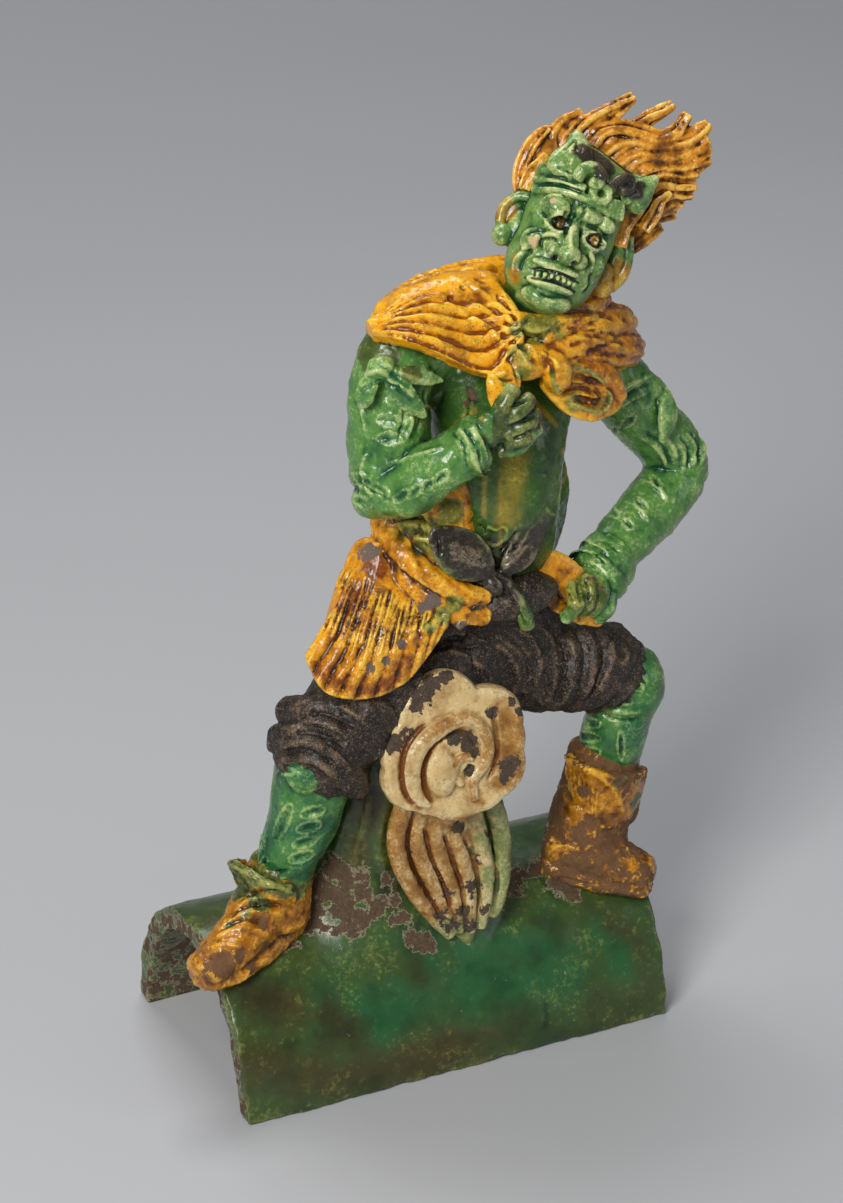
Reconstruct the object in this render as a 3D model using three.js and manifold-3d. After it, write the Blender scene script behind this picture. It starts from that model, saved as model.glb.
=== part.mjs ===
// Roof ridge figure: a striding warrior on a ridge tile, modelled and fired as one glazed piece.
// Units are millimetres, +Z up. X runs along the tile, the figure faces -Y.
// The origin is the centre of the underside of the part's box.

import * as THREE from 'three';
import { mergeVertices } from 'three/addons/utils/BufferGeometryUtils.js';
import Module from 'manifold-3d';

const wasm = await Module();
wasm.setup();

// Driving dimensions
const TILE_LENGTH = 375;
const TILE_WIDTH = 220;
const TILE_RISE = 129;
const TILE_WALL = 19;
const FIGURE_HEIGHT = 628;
const CLOUD_DEPTH = 22;
const FLAP_DEPTH = 9;
const CAPE_DEPTH = 11;

// The figure's pose and carving are written for a figure 628 mm tall above the crown of the tile.
const SHARE = FIGURE_HEIGHT / 628;
const EMBED = 8;

const V = (x, y, z) => new THREE.Vector3(x, y, z);
const FRONT = V(0, -1, 0);
const UP = V(0, 0, 1);
const TAU = 2 * Math.PI;

// A point of the figure, from its place over the middle of the tile's crown.
const at = (x, y, z) => V(x, y, z).multiplyScalar(SHARE).add(V(0, 0, TILE_RISE));

// Height of the tile's outer face over the channel's floor line, at a distance from the ridge.
const tileTop = (y) => TILE_RISE * Math.sqrt(Math.max(0, 1 - (2 * y / TILE_WIDTH) ** 2));

// Closed geometry from points and faces, turned so that its faces point out.
function closed(points, faces) {
  const position = new Float32Array(points.length * 3);
  points.forEach((p, i) => p.toArray(position, i * 3));
  let volume = 0;
  const cross = V(0, 0, 0);
  for (const [a, b, c] of faces) {
    volume += points[a].dot(cross.crossVectors(points[b], points[c]));
  }
  const index = faces.flatMap(([a, b, c]) => (volume < 0 ? [a, c, b] : [a, b, c]));
  const geometry = new THREE.BufferGeometry();
  geometry.setAttribute('position', new THREE.BufferAttribute(position, 3));
  geometry.setIndex(index);
  return geometry;
}

// Rings of equal count joined into a closed skin, with a point at each end.
function skin(rings, first, last) {
  const sides = rings[0].length;
  const points = rings.flat();
  const faces = [];
  for (let i = 0; i + 1 < rings.length; i += 1) {
    for (let j = 0; j < sides; j += 1) {
      const a = i * sides + j;
      const b = i * sides + (j + 1) % sides;
      faces.push([a, b, b + sides], [a, b + sides, a + sides]);
    }
  }
  const head = points.push(first) - 1;
  const tail = points.push(last) - 1;
  const end = (rings.length - 1) * sides;
  for (let j = 0; j < sides; j += 1) {
    faces.push([head, (j + 1) % sides, j], [tail, end + j, end + (j + 1) % sides]);
  }
  return closed(points, faces);
}

// A limb or roll of clay along its stations [x, y, z, half width, half depth], with domed ends.
// relief(u, angle) adds to the radius; an angle of 90 degrees looks to the front.
function roll(stations, { sides = 8, rings = 7, front = FRONT, relief = null, dome = 0.5, place = at } = {}) {
  const path = new THREE.CatmullRomCurve3(stations.map(([x, y, z]) => place(x, y, z)));
  const size = new THREE.CatmullRomCurve3(stations.map(([, , , w, d = w]) => V(w, d, 0).multiplyScalar(SHARE)));
  const ring = (u, shrink, shift) => {
    const along = path.getTangent(u);
    const across = V(0, 0, 0).crossVectors(along, front).normalize();
    const ahead = V(0, 0, 0).crossVectors(across, along).normalize();
    const { x: wide, y: deep } = size.getPoint(u);
    const centre = path.getPoint(u).addScaledVector(along, shift * dome * (wide + deep) / 2);
    const out = [];
    for (let j = 0; j < sides && shrink > 0; j += 1) {
      const angle = TAU * (j + 0.5) / sides;
      const more = relief ? relief(u, angle) * SHARE : 0;
      out.push(centre.clone()
        .addScaledVector(across, (wide + more) * shrink * Math.cos(angle))
        .addScaledVector(ahead, (deep + more) * shrink * Math.sin(angle)));
    }
    return shrink > 0 ? out : centre;
  };
  const list = [];
  if (dome > 0) {
    list.push(ring(0, 0.72, -0.7));
  }
  for (let i = 0; i <= rings; i += 1) {
    list.push(ring(i / rings, 1, 0));
  }
  if (dome > 0) {
    list.push(ring(1, 0.72, 0.7));
  }
  return skin(list, ring(0, 0, -1), ring(1, 0, 1));
}

// A lump of clay: a sphere stretched along three axes.
function lump(centre, radii, { sides = 8, rings = 6, axes = null } = {}) {
  const geometry = new THREE.SphereGeometry(1, sides, rings);
  const [a, b, c] = axes ?? [V(1, 0, 0), V(0, 1, 0), V(0, 0, 1)];
  const [ra, rb, rc] = radii.map((r) => r * SHARE);
  const turn = new THREE.Matrix4().makeBasis(
    a.clone().multiplyScalar(ra), b.clone().multiplyScalar(rb), c.clone().multiplyScalar(rc));
  return geometry.applyMatrix4(turn.setPosition(centre));
}

// A sheet of clay with a thickness, from a surface point for each (u, v) between 0 and 1.
function sheet(surface, thick, { across = 16, down = 6 } = {}) {
  const face = (side) => {
    const rows = [];
    for (let i = 0; i <= down; i += 1) {
      for (let j = 0; j <= across; j += 1) {
        const [u, v] = [j / across, i / down];
        const p = surface(u, v);
        const du = surface(Math.min(1, u + 0.01), v).sub(surface(Math.max(0, u - 0.01), v));
        const dv = surface(u, Math.min(1, v + 0.01)).sub(surface(u, Math.max(0, v - 0.01)));
        const away = du.cross(dv).normalize();
        rows.push(p.addScaledVector(away, side * thick / 2));
      }
    }
    return rows;
  };
  const points = [...face(1), ...face(-1)];
  const half = (across + 1) * (down + 1);
  const id = (i, j) => i * (across + 1) + j;
  const faces = [];
  for (let i = 0; i < down; i += 1) {
    for (let j = 0; j < across; j += 1) {
      const [a, b, c, d] = [id(i, j), id(i, j + 1), id(i + 1, j + 1), id(i + 1, j)];
      faces.push([a, b, c], [a, c, d], [a + half, c + half, b + half], [a + half, d + half, c + half]);
    }
  }
  const rim = [];
  for (let j = 0; j < across; j += 1) {
    rim.push(id(0, j));
  }
  for (let i = 0; i < down; i += 1) {
    rim.push(id(i, across));
  }
  for (let j = across; j > 0; j -= 1) {
    rim.push(id(down, j));
  }
  for (let i = down; i > 0; i -= 1) {
    rim.push(id(i, 0));
  }
  rim.forEach((a, k) => {
    const b = rim[(k + 1) % rim.length];
    faces.push([b, a, a + half], [b, a + half, b + half]);
  });
  return closed(points, faces);
}

const curveThrough = (list) => new THREE.CatmullRomCurve3(list.map(([x, y, z]) => at(x, y, z)));
const bump = (t, centre, width) => Math.exp(-(((t - centre) / width) ** 2));

// Solids are joined in one body, which the tile's channel is cut from.
function solid(geometry) {
  geometry.deleteAttribute('normal');
  geometry.deleteAttribute('uv');
  const merged = mergeVertices(geometry, 1e-4);
  return new wasm.Manifold(new wasm.Mesh({
    numProp: 3,
    vertProperties: merged.getAttribute('position').array,
    triVerts: new Uint32Array(merged.getIndex().array),
  }));
}

const forms = [];
const add = (...list) => forms.push(...list);

// Ridge tile: an inverted trough with a half oval section, open at both ends.
const ARCH_STEPS = 22;
function trough(halfWidth, rise, length, foot) {
  const outline = new THREE.Shape();
  outline.moveTo(-halfWidth, -foot);
  for (let i = 0; i <= ARCH_STEPS; i += 1) {
    const angle = Math.PI * (1 - i / ARCH_STEPS);
    outline.lineTo(halfWidth * Math.cos(angle), rise * Math.sin(angle));
  }
  outline.lineTo(halfWidth, -foot);
  const body = new THREE.ExtrudeGeometry(outline, { depth: length, bevelEnabled: false, steps: 1 });
  // The section lies in the YZ plane and runs along X.
  body.applyMatrix4(new THREE.Matrix4().makeBasis(V(0, 1, 0), V(0, 0, 1), V(1, 0, 0)));
  return body.translate(-length / 2, 0, 0);
}
const tileBody = trough(TILE_WIDTH / 2, TILE_RISE, TILE_LENGTH, 0);
const tileChannel = trough(TILE_WIDTH / 2 - TILE_WALL, TILE_RISE - TILE_WALL, TILE_LENGTH + 4 * TILE_WALL, TILE_WALL);

// Mound: the support between the legs, drawn up from the tile's crown to the crotch.
const MOUND = [
  [-20, 2, 1, 108, 96],
  [-18, 2, 0.9, 86, 84],
  [-20, 0, 0.45, 80, 66],
  [-20, -2, 0, 74, 54],
  [-14, -6, 0, 64, 46],
  [-8, -10, 0, 56, 40],
  [4, -6, 0, 42, 36],
];
const MOUND_LIFT = [0, 8, 24, 52, 96, 136, 178];
{
  const rings = MOUND.map(([x, y, hug, wide, deep], k) => {
    const out = [];
    for (let j = 0; j < 14; j += 1) {
      const angle = TAU * j / 14;
      const px = (x + wide * Math.cos(angle)) * SHARE;
      const py = (y + deep * Math.sin(angle)) * SHARE;
      const base = TILE_RISE + hug * (tileTop(py) - TILE_RISE);
      out.push(V(px, py, base + MOUND_LIFT[k] * SHARE - (k === 0 ? EMBED : 0)));
    }
    return out;
  });
  add(skin(rings, V(-20 * SHARE, 0, TILE_RISE - 2 * EMBED), at(4, -6, 188)));
}

// Cloud: a thick lobed disc with a raised scroll, carried in front of the mound.
const CLOUD_OUT = V(-0.2, -0.95, 0.24).normalize();
const CLOUD_RIGHT = V(0, 0, 0).crossVectors(UP, CLOUD_OUT).normalize().negate();
const CLOUD_UP = V(0, 0, 0).crossVectors(CLOUD_OUT, CLOUD_RIGHT).normalize().negate();
if (CLOUD_UP.z < 0) {
  CLOUD_UP.negate();
}
if (CLOUD_RIGHT.x < 0) {
  CLOUD_RIGHT.negate();
}
const cloudAt = (s, t, n) => at(3, -76, 151)
  .addScaledVector(CLOUD_RIGHT, s * SHARE)
  .addScaledVector(CLOUD_UP, t * SHARE)
  .addScaledVector(CLOUD_OUT, n * SHARE);
const CLOUD_LOBES = [[-2, 32, 29], [32, 18, 29], [31, -18, 31], [2, -30, 31], [-28, -22, 27], [-26, 12, 22]];
function cloudEdge(angle) {
  let reach = 0;
  for (const [s, t, r] of CLOUD_LOBES) {
    const [dx, dy] = [Math.cos(angle), Math.sin(angle)];
    const along = s * dx + t * dy;
    const off = Math.abs(s * dy - t * dx);
    if (off < r) {
      reach = Math.max(reach, along + Math.sqrt(r * r - off * off));
    }
  }
  return reach;
}
{
  const count = 36;
  const ring = (share, n) => {
    const out = [];
    for (let j = 0; j < count; j += 1) {
      const angle = TAU * j / count;
      const r = cloudEdge(angle) * share;
      out.push(cloudAt(r * Math.cos(angle), r * Math.sin(angle), n));
    }
    return out;
  };
  const half = CLOUD_DEPTH / 2 / SHARE;
  add(skin([ring(0.86, -half), ring(1, -half * 0.4), ring(0.99, half * 0.5), ring(0.88, half)],
    cloudAt(0, 0, -half), cloudAt(0, 0, half)));
  // The scroll: one arm winds in from the left to the centre, the other leaves to the lower right.
  const face = half - 1;
  const inward = [[-30, -46], [-34, -18], [-24, 8], [-2, 22], [18, 14], [24, -4], [14, -18], [2, -14], [2, -4], [10, 0]]
    .map(([s, t]) => [s, t, face, 4.6, 4]);
  const outward = [[30, 22], [32, 6], [24, -12], [16, -28], [22, -42]].map(([s, t]) => [s, t, face, 4.4, 4]);
  add(roll(inward, { sides: 5, rings: 18, front: CLOUD_OUT, place: cloudAt }));
  add(roll(outward, { sides: 5, rings: 8, front: CLOUD_OUT, place: cloudAt }));
}

// Stem of the cloud: five wavy folds falling from the cloud to the tile's flank.
const STEM_LEFT = curveThrough([[-30, -50, 106], [-32, -50, 66], [-22, -52, 26], [0, -62, -12], [12, -68, -38]]);
const STEM_RIGHT = curveThrough([[48, -50, 98], [52, -50, 46], [48, -52, 10], [40, -60, -18], [30, -68, -38]]);
const STEM_FOLDS = 5;
add(sheet((u, v) => {
  const p = STEM_LEFT.getPoint(v).lerp(STEM_RIGHT.getPoint(v), u + 0.03 * Math.sin(3 * Math.PI * v));
  const swell = 8 * Math.sin(Math.PI * u) + 7 * Math.abs(Math.sin(STEM_FOLDS * Math.PI * u));
  return p.addScaledVector(FRONT, swell * SHARE);
}, 30 * SHARE, { across: 10, down: 6 }));

// Trousers: gathered cloth in rolls over both thighs, joined at the hips.
const tiers = (count, height) => (u) => height * Math.abs(Math.sin(count * Math.PI * u));
add(roll([[60, 2, 190, 44, 42], [27, -12, 184, 45, 44], [-18, -24, 182, 43, 42], [-58, -32, 171, 39, 40],
  [-84, -36, 150, 36, 37], [-95, -37, 133, 33, 35]], { sides: 10, rings: 12, relief: tiers(4, 4.5) }));
add(roll([[80, 0, 190, 44, 42], [112, -12, 172, 41, 41], [146, -24, 166, 38, 38], [170, -30, 156, 34, 34],
  [182, -33, 148, 27, 28]], { sides: 10, rings: 15, relief: tiers(5, 4) }));
add(roll([[86, 0, 158, 40, 36], [84, -4, 186, 54, 44], [82, -4, 218, 58, 44], [78, -6, 250, 52, 42]],
  { sides: 10, rings: 4 }));
// The rolled hem over the knee of the bent left leg.
add(roll([[-113, -18, 154, 13], [-107, -46, 166, 14], [-93, -64, 155, 14], [-76, -64, 134, 14], [-64, -46, 120, 13]],
  { sides: 7, rings: 7, front: UP }));
add(roll([[-104, -14, 176, 12], [-94, -42, 184, 13], [-74, -60, 174, 13], [-52, -62, 156, 12]],
  { sides: 7, rings: 6, front: UP }));

// Legs in close fitting hose, with the kneecaps.
add(roll([[-88, -34, 146, 33, 33], [-97, -37, 118, 30, 31], [-103, -36, 90, 28, 28], [-113, -32, 62, 24, 25],
  [-120, -28, 38, 23, 24]], { rings: 6 }));
add(lump(at(-106, -58, 143), [20, 13, 17]));
add(roll([[180, -30, 154, 27, 28], [189, -34, 142, 26, 28], [181, -32, 120, 26, 27], [175, -29, 92, 26, 27],
  [171, -25, 60, 23, 24]], { rings: 6 }));
add(lump(at(198, -34, 152), [14, 17, 19]));

// Boots: soft leather with a flaring cuff, the soles bedded on the tile.
function boot(shaft, foot, sole) {
  add(roll(shaft, { rings: 4 }));
  add(roll(foot, { rings: 5, front: UP }));
  add(roll(sole, { rings: 4, front: UP, dome: 0.35 }));
}
boot([[-119, -28, 48, 26, 26], [-122, -28, 30, 26, 28], [-124, -30, 8, 26, 30]],
  [[-112, -18, 14, 23, 22], [-134, -32, 20, 25, 25], [-158, -46, 10, 22, 20], [-182, -56, 0, 20, 15],
    [-201, -64, -5, 18, 12]],
  [[-104, -16, -4, 20, 12], [-140, -36, -8, 23, 13], [-176, -54, -14, 21, 10], [-202, -64, -14, 17, 8]]);
boot([[168, -28, 78, 31, 29], [162, -28, 48, 32, 29], [152, -32, 18, 34, 29], [150, -38, -4, 34, 28]],
  [[122, -30, 6, 19, 18], [146, -44, 2, 26, 24], [166, -58, -8, 23, 20], [184, -72, -14, 20, 14]],
  [[116, -30, -6, 18, 12], [146, -48, -14, 25, 13], [168, -60, -20, 23, 11], [186, -72, -24, 20, 9]]);
// Cuffs of the boots: the left one stands up behind the calf, the right one flares at both sides.
add(sheet((u, v) => {
  const angle = THREE.MathUtils.lerp(1.55, 4.3, u);
  const r = 25 + 9 * v + 2 * Math.sin(9 * u);
  return at(-121 + r * Math.cos(angle), -26 + r * Math.sin(angle) * -1, 20 + 46 * v - 10 * u * v);
}, 8 * SHARE, { across: 8, down: 2 }));
add(sheet((u, v) => {
  const angle = THREE.MathUtils.lerp(-2.9, 1.2, u);
  const r = 27 + 5 * v + 2 * Math.sin(11 * u);
  const top = THREE.MathUtils.lerp(92, 40, u);
  return at(165 + r * Math.cos(angle), -27 + r * Math.sin(angle), THREE.MathUtils.lerp(20, top + 14 * u * (1 - u), v));
}, 8 * SHARE, { across: 10, down: 2 }));

// Hip flap: a fan of leather lying over the left hip, its flutes opening towards the free edge.
const FLAP_TOP = curveThrough([[-34, -12, 300], [-28, -30, 290], [-20, -44, 277], [-2, -56, 268], [16, -62, 266]]);
const FLAP_EDGE = curveThrough([[-101, -40, 236], [-95, -56, 214], [-78, -66, 206], [-54, -70, 204], [-30, -71, 212],
  [-10, -70, 230], [6, -68, 250]]);
const FLAP_FLUTES = 9;
add(sheet((u, v) => {
  const p = FLAP_TOP.getPoint(u).lerp(FLAP_EDGE.getPoint(u), v);
  const flute = 4.5 * Math.abs(Math.sin(FLAP_FLUTES * Math.PI * u)) * v;
  const out = V(-0.4, -0.8, 0.45).normalize();
  return p.addScaledVector(out, (13 * Math.sin(Math.PI * v) * Math.sin(Math.PI * u) + flute) * SHARE);
}, (FLAP_DEPTH + 4) * SHARE, { across: 18, down: 4 }));
add(roll([[-20, -12, 292, 26, 24], [-36, -22, 258, 32, 28], [-44, -30, 226, 38, 30], [-40, -32, 204, 34, 28]],
  { sides: 8, rings: 3 }));
add(lump(at(24, -14, 252), [38, 36, 42]), lump(at(22, -4, 430), [22, 20, 24]));

// Belt: two rolls of cloth from behind the left hip to the knot at the waist.
const BELT_UPPER = [[58, 34, 290, 10], [12, 26, 306, 11], [-12, 4, 312, 11], [-17, -22, 308, 11], [-12, -42, 296, 11],
  [2, -56, 284, 11], [23, -64, 272, 9], [40, -68, 268, 7]];
add(roll(BELT_UPPER, { sides: 6, rings: 11, front: UP }));
add(roll(BELT_UPPER.map(([x, y, z, r]) => [x - 1, y - 2, z - 15, r]), { sides: 6, rings: 11, front: UP }));

// Torso in a close jacket with a full belly, and the skirt of the jacket at the left hip.
add(roll([[84, -4, 225, 50, 42], [76, -8, 260, 48, 42], [73, -14, 303, 47, 46], [74, -14, 343, 48, 48],
  [78, -8, 386, 56, 46], [86, -3, 422, 68, 42], [96, 0, 446, 54, 32], [104, -2, 462, 32, 28]],
{ sides: 12, rings: 9, relief: (u, angle) => 8 * bump(u, 0.42, 0.2) * Math.max(0, Math.sin(angle)) }));
add(roll([[34, -12, 356, 24, 34], [24, -16, 334, 30, 38], [20, -18, 308, 32, 40], [28, -16, 280, 34, 40]],
  { sides: 8, rings: 3 }));
add(sheet((u, v) => at(
  THREE.MathUtils.lerp(112, 134, v) - 12 * (2 * u - 1) ** 2,
  THREE.MathUtils.lerp(-30, -12, v),
  THREE.MathUtils.lerp(268, 362, u)), 14 * SHARE, { across: 5, down: 2 }));

// Waist: two leaf shaped lappets, the knot between them and its tails.
function leaf(from, to, wide, thick, out, bend = 0) {
  const [a, b] = [at(...from), at(...to)];
  const along = b.clone().sub(a);
  const side = along.clone().cross(out).normalize();
  return sheet((u, v) => {
    const spread = Math.sin(Math.PI * (0.1 + 0.86 * v)) ** 0.8 * wide * SHARE;
    return a.clone().addScaledVector(along, v)
      .addScaledVector(side, (2 * u - 1) * spread)
      .addScaledVector(out, (bend * Math.sin(Math.PI * v) + 3 * Math.cos(Math.PI * (u - 0.5))) * SHARE);
  }, thick * SHARE, { across: 2, down: 4 });
}
add(leaf([0, -56, 326], [42, -66, 288], 19, 14, V(-0.2, -0.93, 0.3).normalize(), 4));
add(leaf([84, -54, 310], [54, -66, 284], 15, 14, V(0, -0.95, 0.3).normalize(), 3));
add(lump(at(48, -62, 276), [15, 14, 13]), lump(at(68, -56, 258), [40, 24, 18]));
add(roll([[54, -68, 280, 7], [66, -76, 260, 7], [74, -72, 238, 6]], { sides: 7, rings: 4 }));
add(roll([[46, -68, 272, 7], [28, -70, 258, 8], [8, -72, 240, 6]], { sides: 7, rings: 4 }));
add(leaf([92, -36, 282], [146, -50, 214], 20, 12, V(-0.1, -0.9, 0.42).normalize(), 6));

// Left arm: a puffed sleeve with a bow, the forearm laid over the chest.
add(roll([[34, -2, 450, 26, 26], [-2, -7, 458, 29, 29], [-14, -14, 432, 31, 31], [-19, -21, 396, 32, 32],
  [-25, -30, 366, 30, 30]], { rings: 8, relief: (u) => 4 * bump(u, 0.375, 0.06) }));
add(lump(at(-35, -30, 352), [19, 18, 17]));
add(roll([[-29, -30, 362, 28, 27], [-18, -50, 364, 27, 26], [-2, -66, 381, 25, 24], [16, -76, 396, 23, 22],
  [26, -80, 402, 21, 20]], { rings: 6 }));
add(roll([[14, -75, 396, 22, 22], [25, -82, 403, 26, 26], [27, -83, 404, 22, 22]], { rings: 2, dome: 0 }));
add(lump(at(-34, -38, 462), [13, 10, 11]));
add(leaf([-32, -42, 460], [-8, -52, 424], 9, 9, V(-0.4, -0.9, 0.2).normalize(), 3));
add(leaf([-38, -38, 460], [-48, -34, 432], 8, 9, V(-0.7, -0.7, 0.1).normalize(), 3));
// Left hand, spread on the chest.
add(lump(at(38, -84, 416), [17, 11, 20], { axes: [V(0.8, -0.2, 0.55).normalize(), V(0.05, -0.9, -0.42).normalize(),
  V(-0.6, -0.3, 0.75).normalize()] }));
const LEFT_FINGERS = [
  [[36, -86, 424, 7], [40, -92, 438, 7], [50, -90, 450, 6]],
  [[42, -90, 422, 7], [52, -96, 434, 7], [63, -92, 440, 6]],
  [[44, -92, 415, 7], [56, -97, 422, 7], [68, -92, 427, 6]],
  [[44, -92, 407, 7], [56, -97, 412, 7], [69, -92, 415, 6]],
  [[40, -90, 400, 6], [52, -94, 402, 6], [63, -90, 405, 5]],
];
LEFT_FINGERS.forEach((line) => add(roll(line, { sides: 6, rings: 4 })));

// Right arm: akimbo, the elbow out and the fist on the hip.
add(roll([[138, 2, 432, 30, 28], [178, 3, 402, 28, 28], [207, 4, 364, 26, 27], [234, 5, 332, 25, 26],
  [246, 4, 311, 24, 25]], { rings: 8, relief: (u) => 3 * bump(u, 0.375, 0.06) }));
add(roll([[247, 2, 316, 24, 24], [239, -2, 298, 25, 25], [210, -15, 281, 25, 25], [178, -27, 266, 22, 22],
  [158, -35, 256, 20, 20]], { rings: 7, front: FRONT }));
add(roll([[170, -30, 264, 22, 22], [160, -35, 256, 25, 25], [157, -36, 254, 24, 24], [150, -40, 250, 26, 26],
  [148, -41, 249, 20, 20]], { rings: 4, dome: 0, front: FRONT }));
add(roll([[198, -14, 400, 9, 7], [212, -12, 386, 11, 9], [224, 0, 376, 9, 8]], { sides: 7, rings: 4 }));
add(leaf([222, -14, 386], [214, -26, 346], 9, 10, V(0.3, -0.95, 0).normalize(), 3));
add(lump(at(256, 2, 314), [12, 20, 22]));
// Right fist.
add(lump(at(134, -48, 242), [23, 18, 20]));
[[118, 256], [130, 258], [142, 255], [150, 246]].forEach(([x, z], k) => add(roll(
  [[x + 4, -54, z - 2, 7], [x, -68 + 2 * k, z - 12, 7], [x - 5, -62 + 2 * k, z - 26, 6]], { sides: 6, rings: 3 })));

// Scarf: a pleated cape over the left shoulder, rolls over the right one, knotted at the throat.
const CAPE_HIGH = curveThrough([[-34, -10, 486], [2, -4, 497], [26, 8, 501], [46, 14, 503], [66, 10, 503], [76, -10, 497],
  [76, -44, 488]]);
const CAPE_LOW = curveThrough([[-33, -20, 480], [-22, -42, 482], [0, -58, 474], [30, -64, 456], [46, -68, 452], [56, -68, 462],
  [70, -66, 474]]);
const CAPE_PLEATS = 6;
add(sheet((u, v) => {
  const p = CAPE_HIGH.getPoint(u).lerp(CAPE_LOW.getPoint(u), v);
  const pleat = 4 * Math.abs(Math.sin(CAPE_PLEATS * Math.PI * (v + 0.1 * u)));
  const out = V(-0.25, -0.6, 0.75).normalize();
  return p.addScaledVector(out, (12 * Math.sin(Math.PI * v) * Math.sin(Math.PI * (0.15 + 0.7 * u)) + pleat) * SHARE);
}, (CAPE_DEPTH + 7) * SHARE, { across: 6, down: 13 }));
add(roll([[0, -6, 482, 24, 22], [34, -8, 484, 30, 24], [66, -14, 482, 30, 24]], { rings: 5 }));
add(roll([[88, -56, 470, 13], [118, -44, 476, 15], [146, -26, 478, 15], [160, 0, 472, 14], [156, 26, 468, 12]],
  { sides: 6, rings: 6 }));
add(roll([[96, -60, 456, 14], [128, -46, 460, 16], [160, -26, 456, 16], [182, -6, 444, 16], [188, 12, 438, 13]],
  { sides: 6, rings: 6 }));
add(roll([[104, -58, 444, 12], [136, -46, 444, 15], [166, -32, 436, 15], [186, -16, 428, 14], [196, -6, 424, 10]],
  { sides: 6, rings: 6 }));
add(roll([[148, 10, 456, 24, 22], [166, 6, 444, 25, 24], [182, 4, 430, 21, 22]], { sides: 8, rings: 3 }));
add(roll([[-4, 10, 476, 16, 15], [28, 30, 478, 18, 14], [70, 40, 480, 18, 14], [118, 42, 476, 18, 14],
  [154, 32, 460, 17, 14], [180, 16, 438, 16, 14]], { sides: 8, rings: 7 }));
add(lump(at(74, -70, 460), [20, 14, 17]));
add(roll([[86, -72, 462, 10, 10], [92, -78, 452, 13, 12], [96, -74, 438, 11, 10]], { sides: 8, rings: 4 }));
add(leaf([58, -70, 462], [38, -80, 434], 13, 13, V(-0.1, -0.98, 0.15).normalize(), 4));
add(leaf([88, -64, 440], [158, -56, 402], 22, 13, V(0, -0.95, 0.3).normalize(), 6));
add(roll([[96, -62, 436, 8], [124, -64, 440, 8], [148, -60, 428, 8], [158, -56, 408, 7]], { sides: 7, rings: 6 }));

// Neck and collar.
add(roll([[100, 0, 446, 34, 30], [110, -10, 474, 31, 29], [118, -18, 506, 29, 29]], { sides: 10, rings: 3 }));
add(roll([[72, -52, 486, 8], [90, -56, 480, 9], [112, -50, 484, 9], [134, -34, 496, 8]], { sides: 7, rings: 6 }));

// Head, in its own frame: s to the right of the face, u to the crown, n out of the face.
const HEAD_CENTRE = [124, -30, 536];
const HEAD_UP = V(0.461, 0.17, 0.871).normalize();
const HEAD_OUT = V(-0.32, -0.884, 0.342).normalize();
const HEAD_SIDE = V(0, 0, 0).crossVectors(HEAD_OUT, HEAD_UP).normalize().negate();
if (HEAD_SIDE.x < 0) {
  HEAD_SIDE.negate();
}
const headAt = (s, u, n) => at(...HEAD_CENTRE)
  .addScaledVector(HEAD_SIDE, s * SHARE)
  .addScaledVector(HEAD_UP, u * SHARE)
  .addScaledVector(HEAD_OUT, n * SHARE);
const HEAD_AXES = [HEAD_SIDE, HEAD_UP, HEAD_OUT];
const inHead = (s, u, n, radii, sides = 7, rings = 5) => lump(headAt(s, u, n), radii, { sides, rings, axes: HEAD_AXES });
const headRoll = (stations, options) => roll(stations, { front: HEAD_OUT, place: headAt, ...options });
add(headRoll([[-3, -50, 14, 17, 18], [-3, -42, 12, 29, 27], [-1, -26, 8, 36, 34], [0, -6, 2, 40, 39], [0, 16, -2, 40, 41],
  [0, 38, -6, 38, 40], [0, 58, -10, 28, 30]], { sides: 12, rings: 8, dome: 0.4 }));
// Brows, cheeks, eyes, nose, mouth and chin of a scowling guardian.
add(inHead(-15, 19, 33, [13, 9, 12]), inHead(17, 16, 32, [13, 8, 12]));
add(inHead(-24, -10, 27, [11, 11, 10]), inHead(23, -11, 24, [11, 10, 10]));
add(inHead(-14, 7, 34, [7, 5, 6]), inHead(16, 5, 33, [7, 5, 6]));
add(headRoll([[0, 16, 40, 6, 6], [-1, 4, 44, 6, 7], [-1, -8, 51, 9, 9]], { sides: 8, rings: 4 }));
add(inHead(-11, -11, 43, [7, 6, 7]), inHead(11, -11, 42, [7, 6, 7]));
add(headRoll([[-27, -36, 28, 5], [-14, -23, 39, 6], [-2, -22, 42, 6], [10, -23, 40, 6], [19, -33, 32, 5]],
  { sides: 7, rings: 7 }));
add(headRoll([[-24, -38, 30, 5], [-12, -38, 39, 6], [0, -38, 41, 6], [14, -35, 36, 5]], { sides: 7, rings: 6 }));
add(inHead(-3, -48, 31, [16, 9, 12]));
const TEETH = 7;
for (let k = 0; k < TEETH; k += 1) {
  const t = k / (TEETH - 1) - 0.5;
  add(inHead(-4 + 34 * t, -30 + 3 * t, 41 - 34 * t * t, [3.2, 5, 4], 5, 3));
}
// Ears with long lobes and a round drop on the left one.
function ear(s, u, n, side) {
  add(headRoll([[s, u - 16, n + 2, 5], [s + 2 * side, u - 4, n, 6], [s + 5 * side, u + 10, n - 3, 7], [s + side, u + 18, n - 3, 5]],
    { sides: 7, rings: 5 }));
  add(inHead(s - 2 * side, u, n, [6, 16, 8]));
}
ear(-45, 0, -4, -1);
ear(45, -10, -4, 1);
add(inHead(-50, -19, -1, [9, 8, 9]), inHead(44, -30, 0, [8, 12, 8]));

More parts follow.
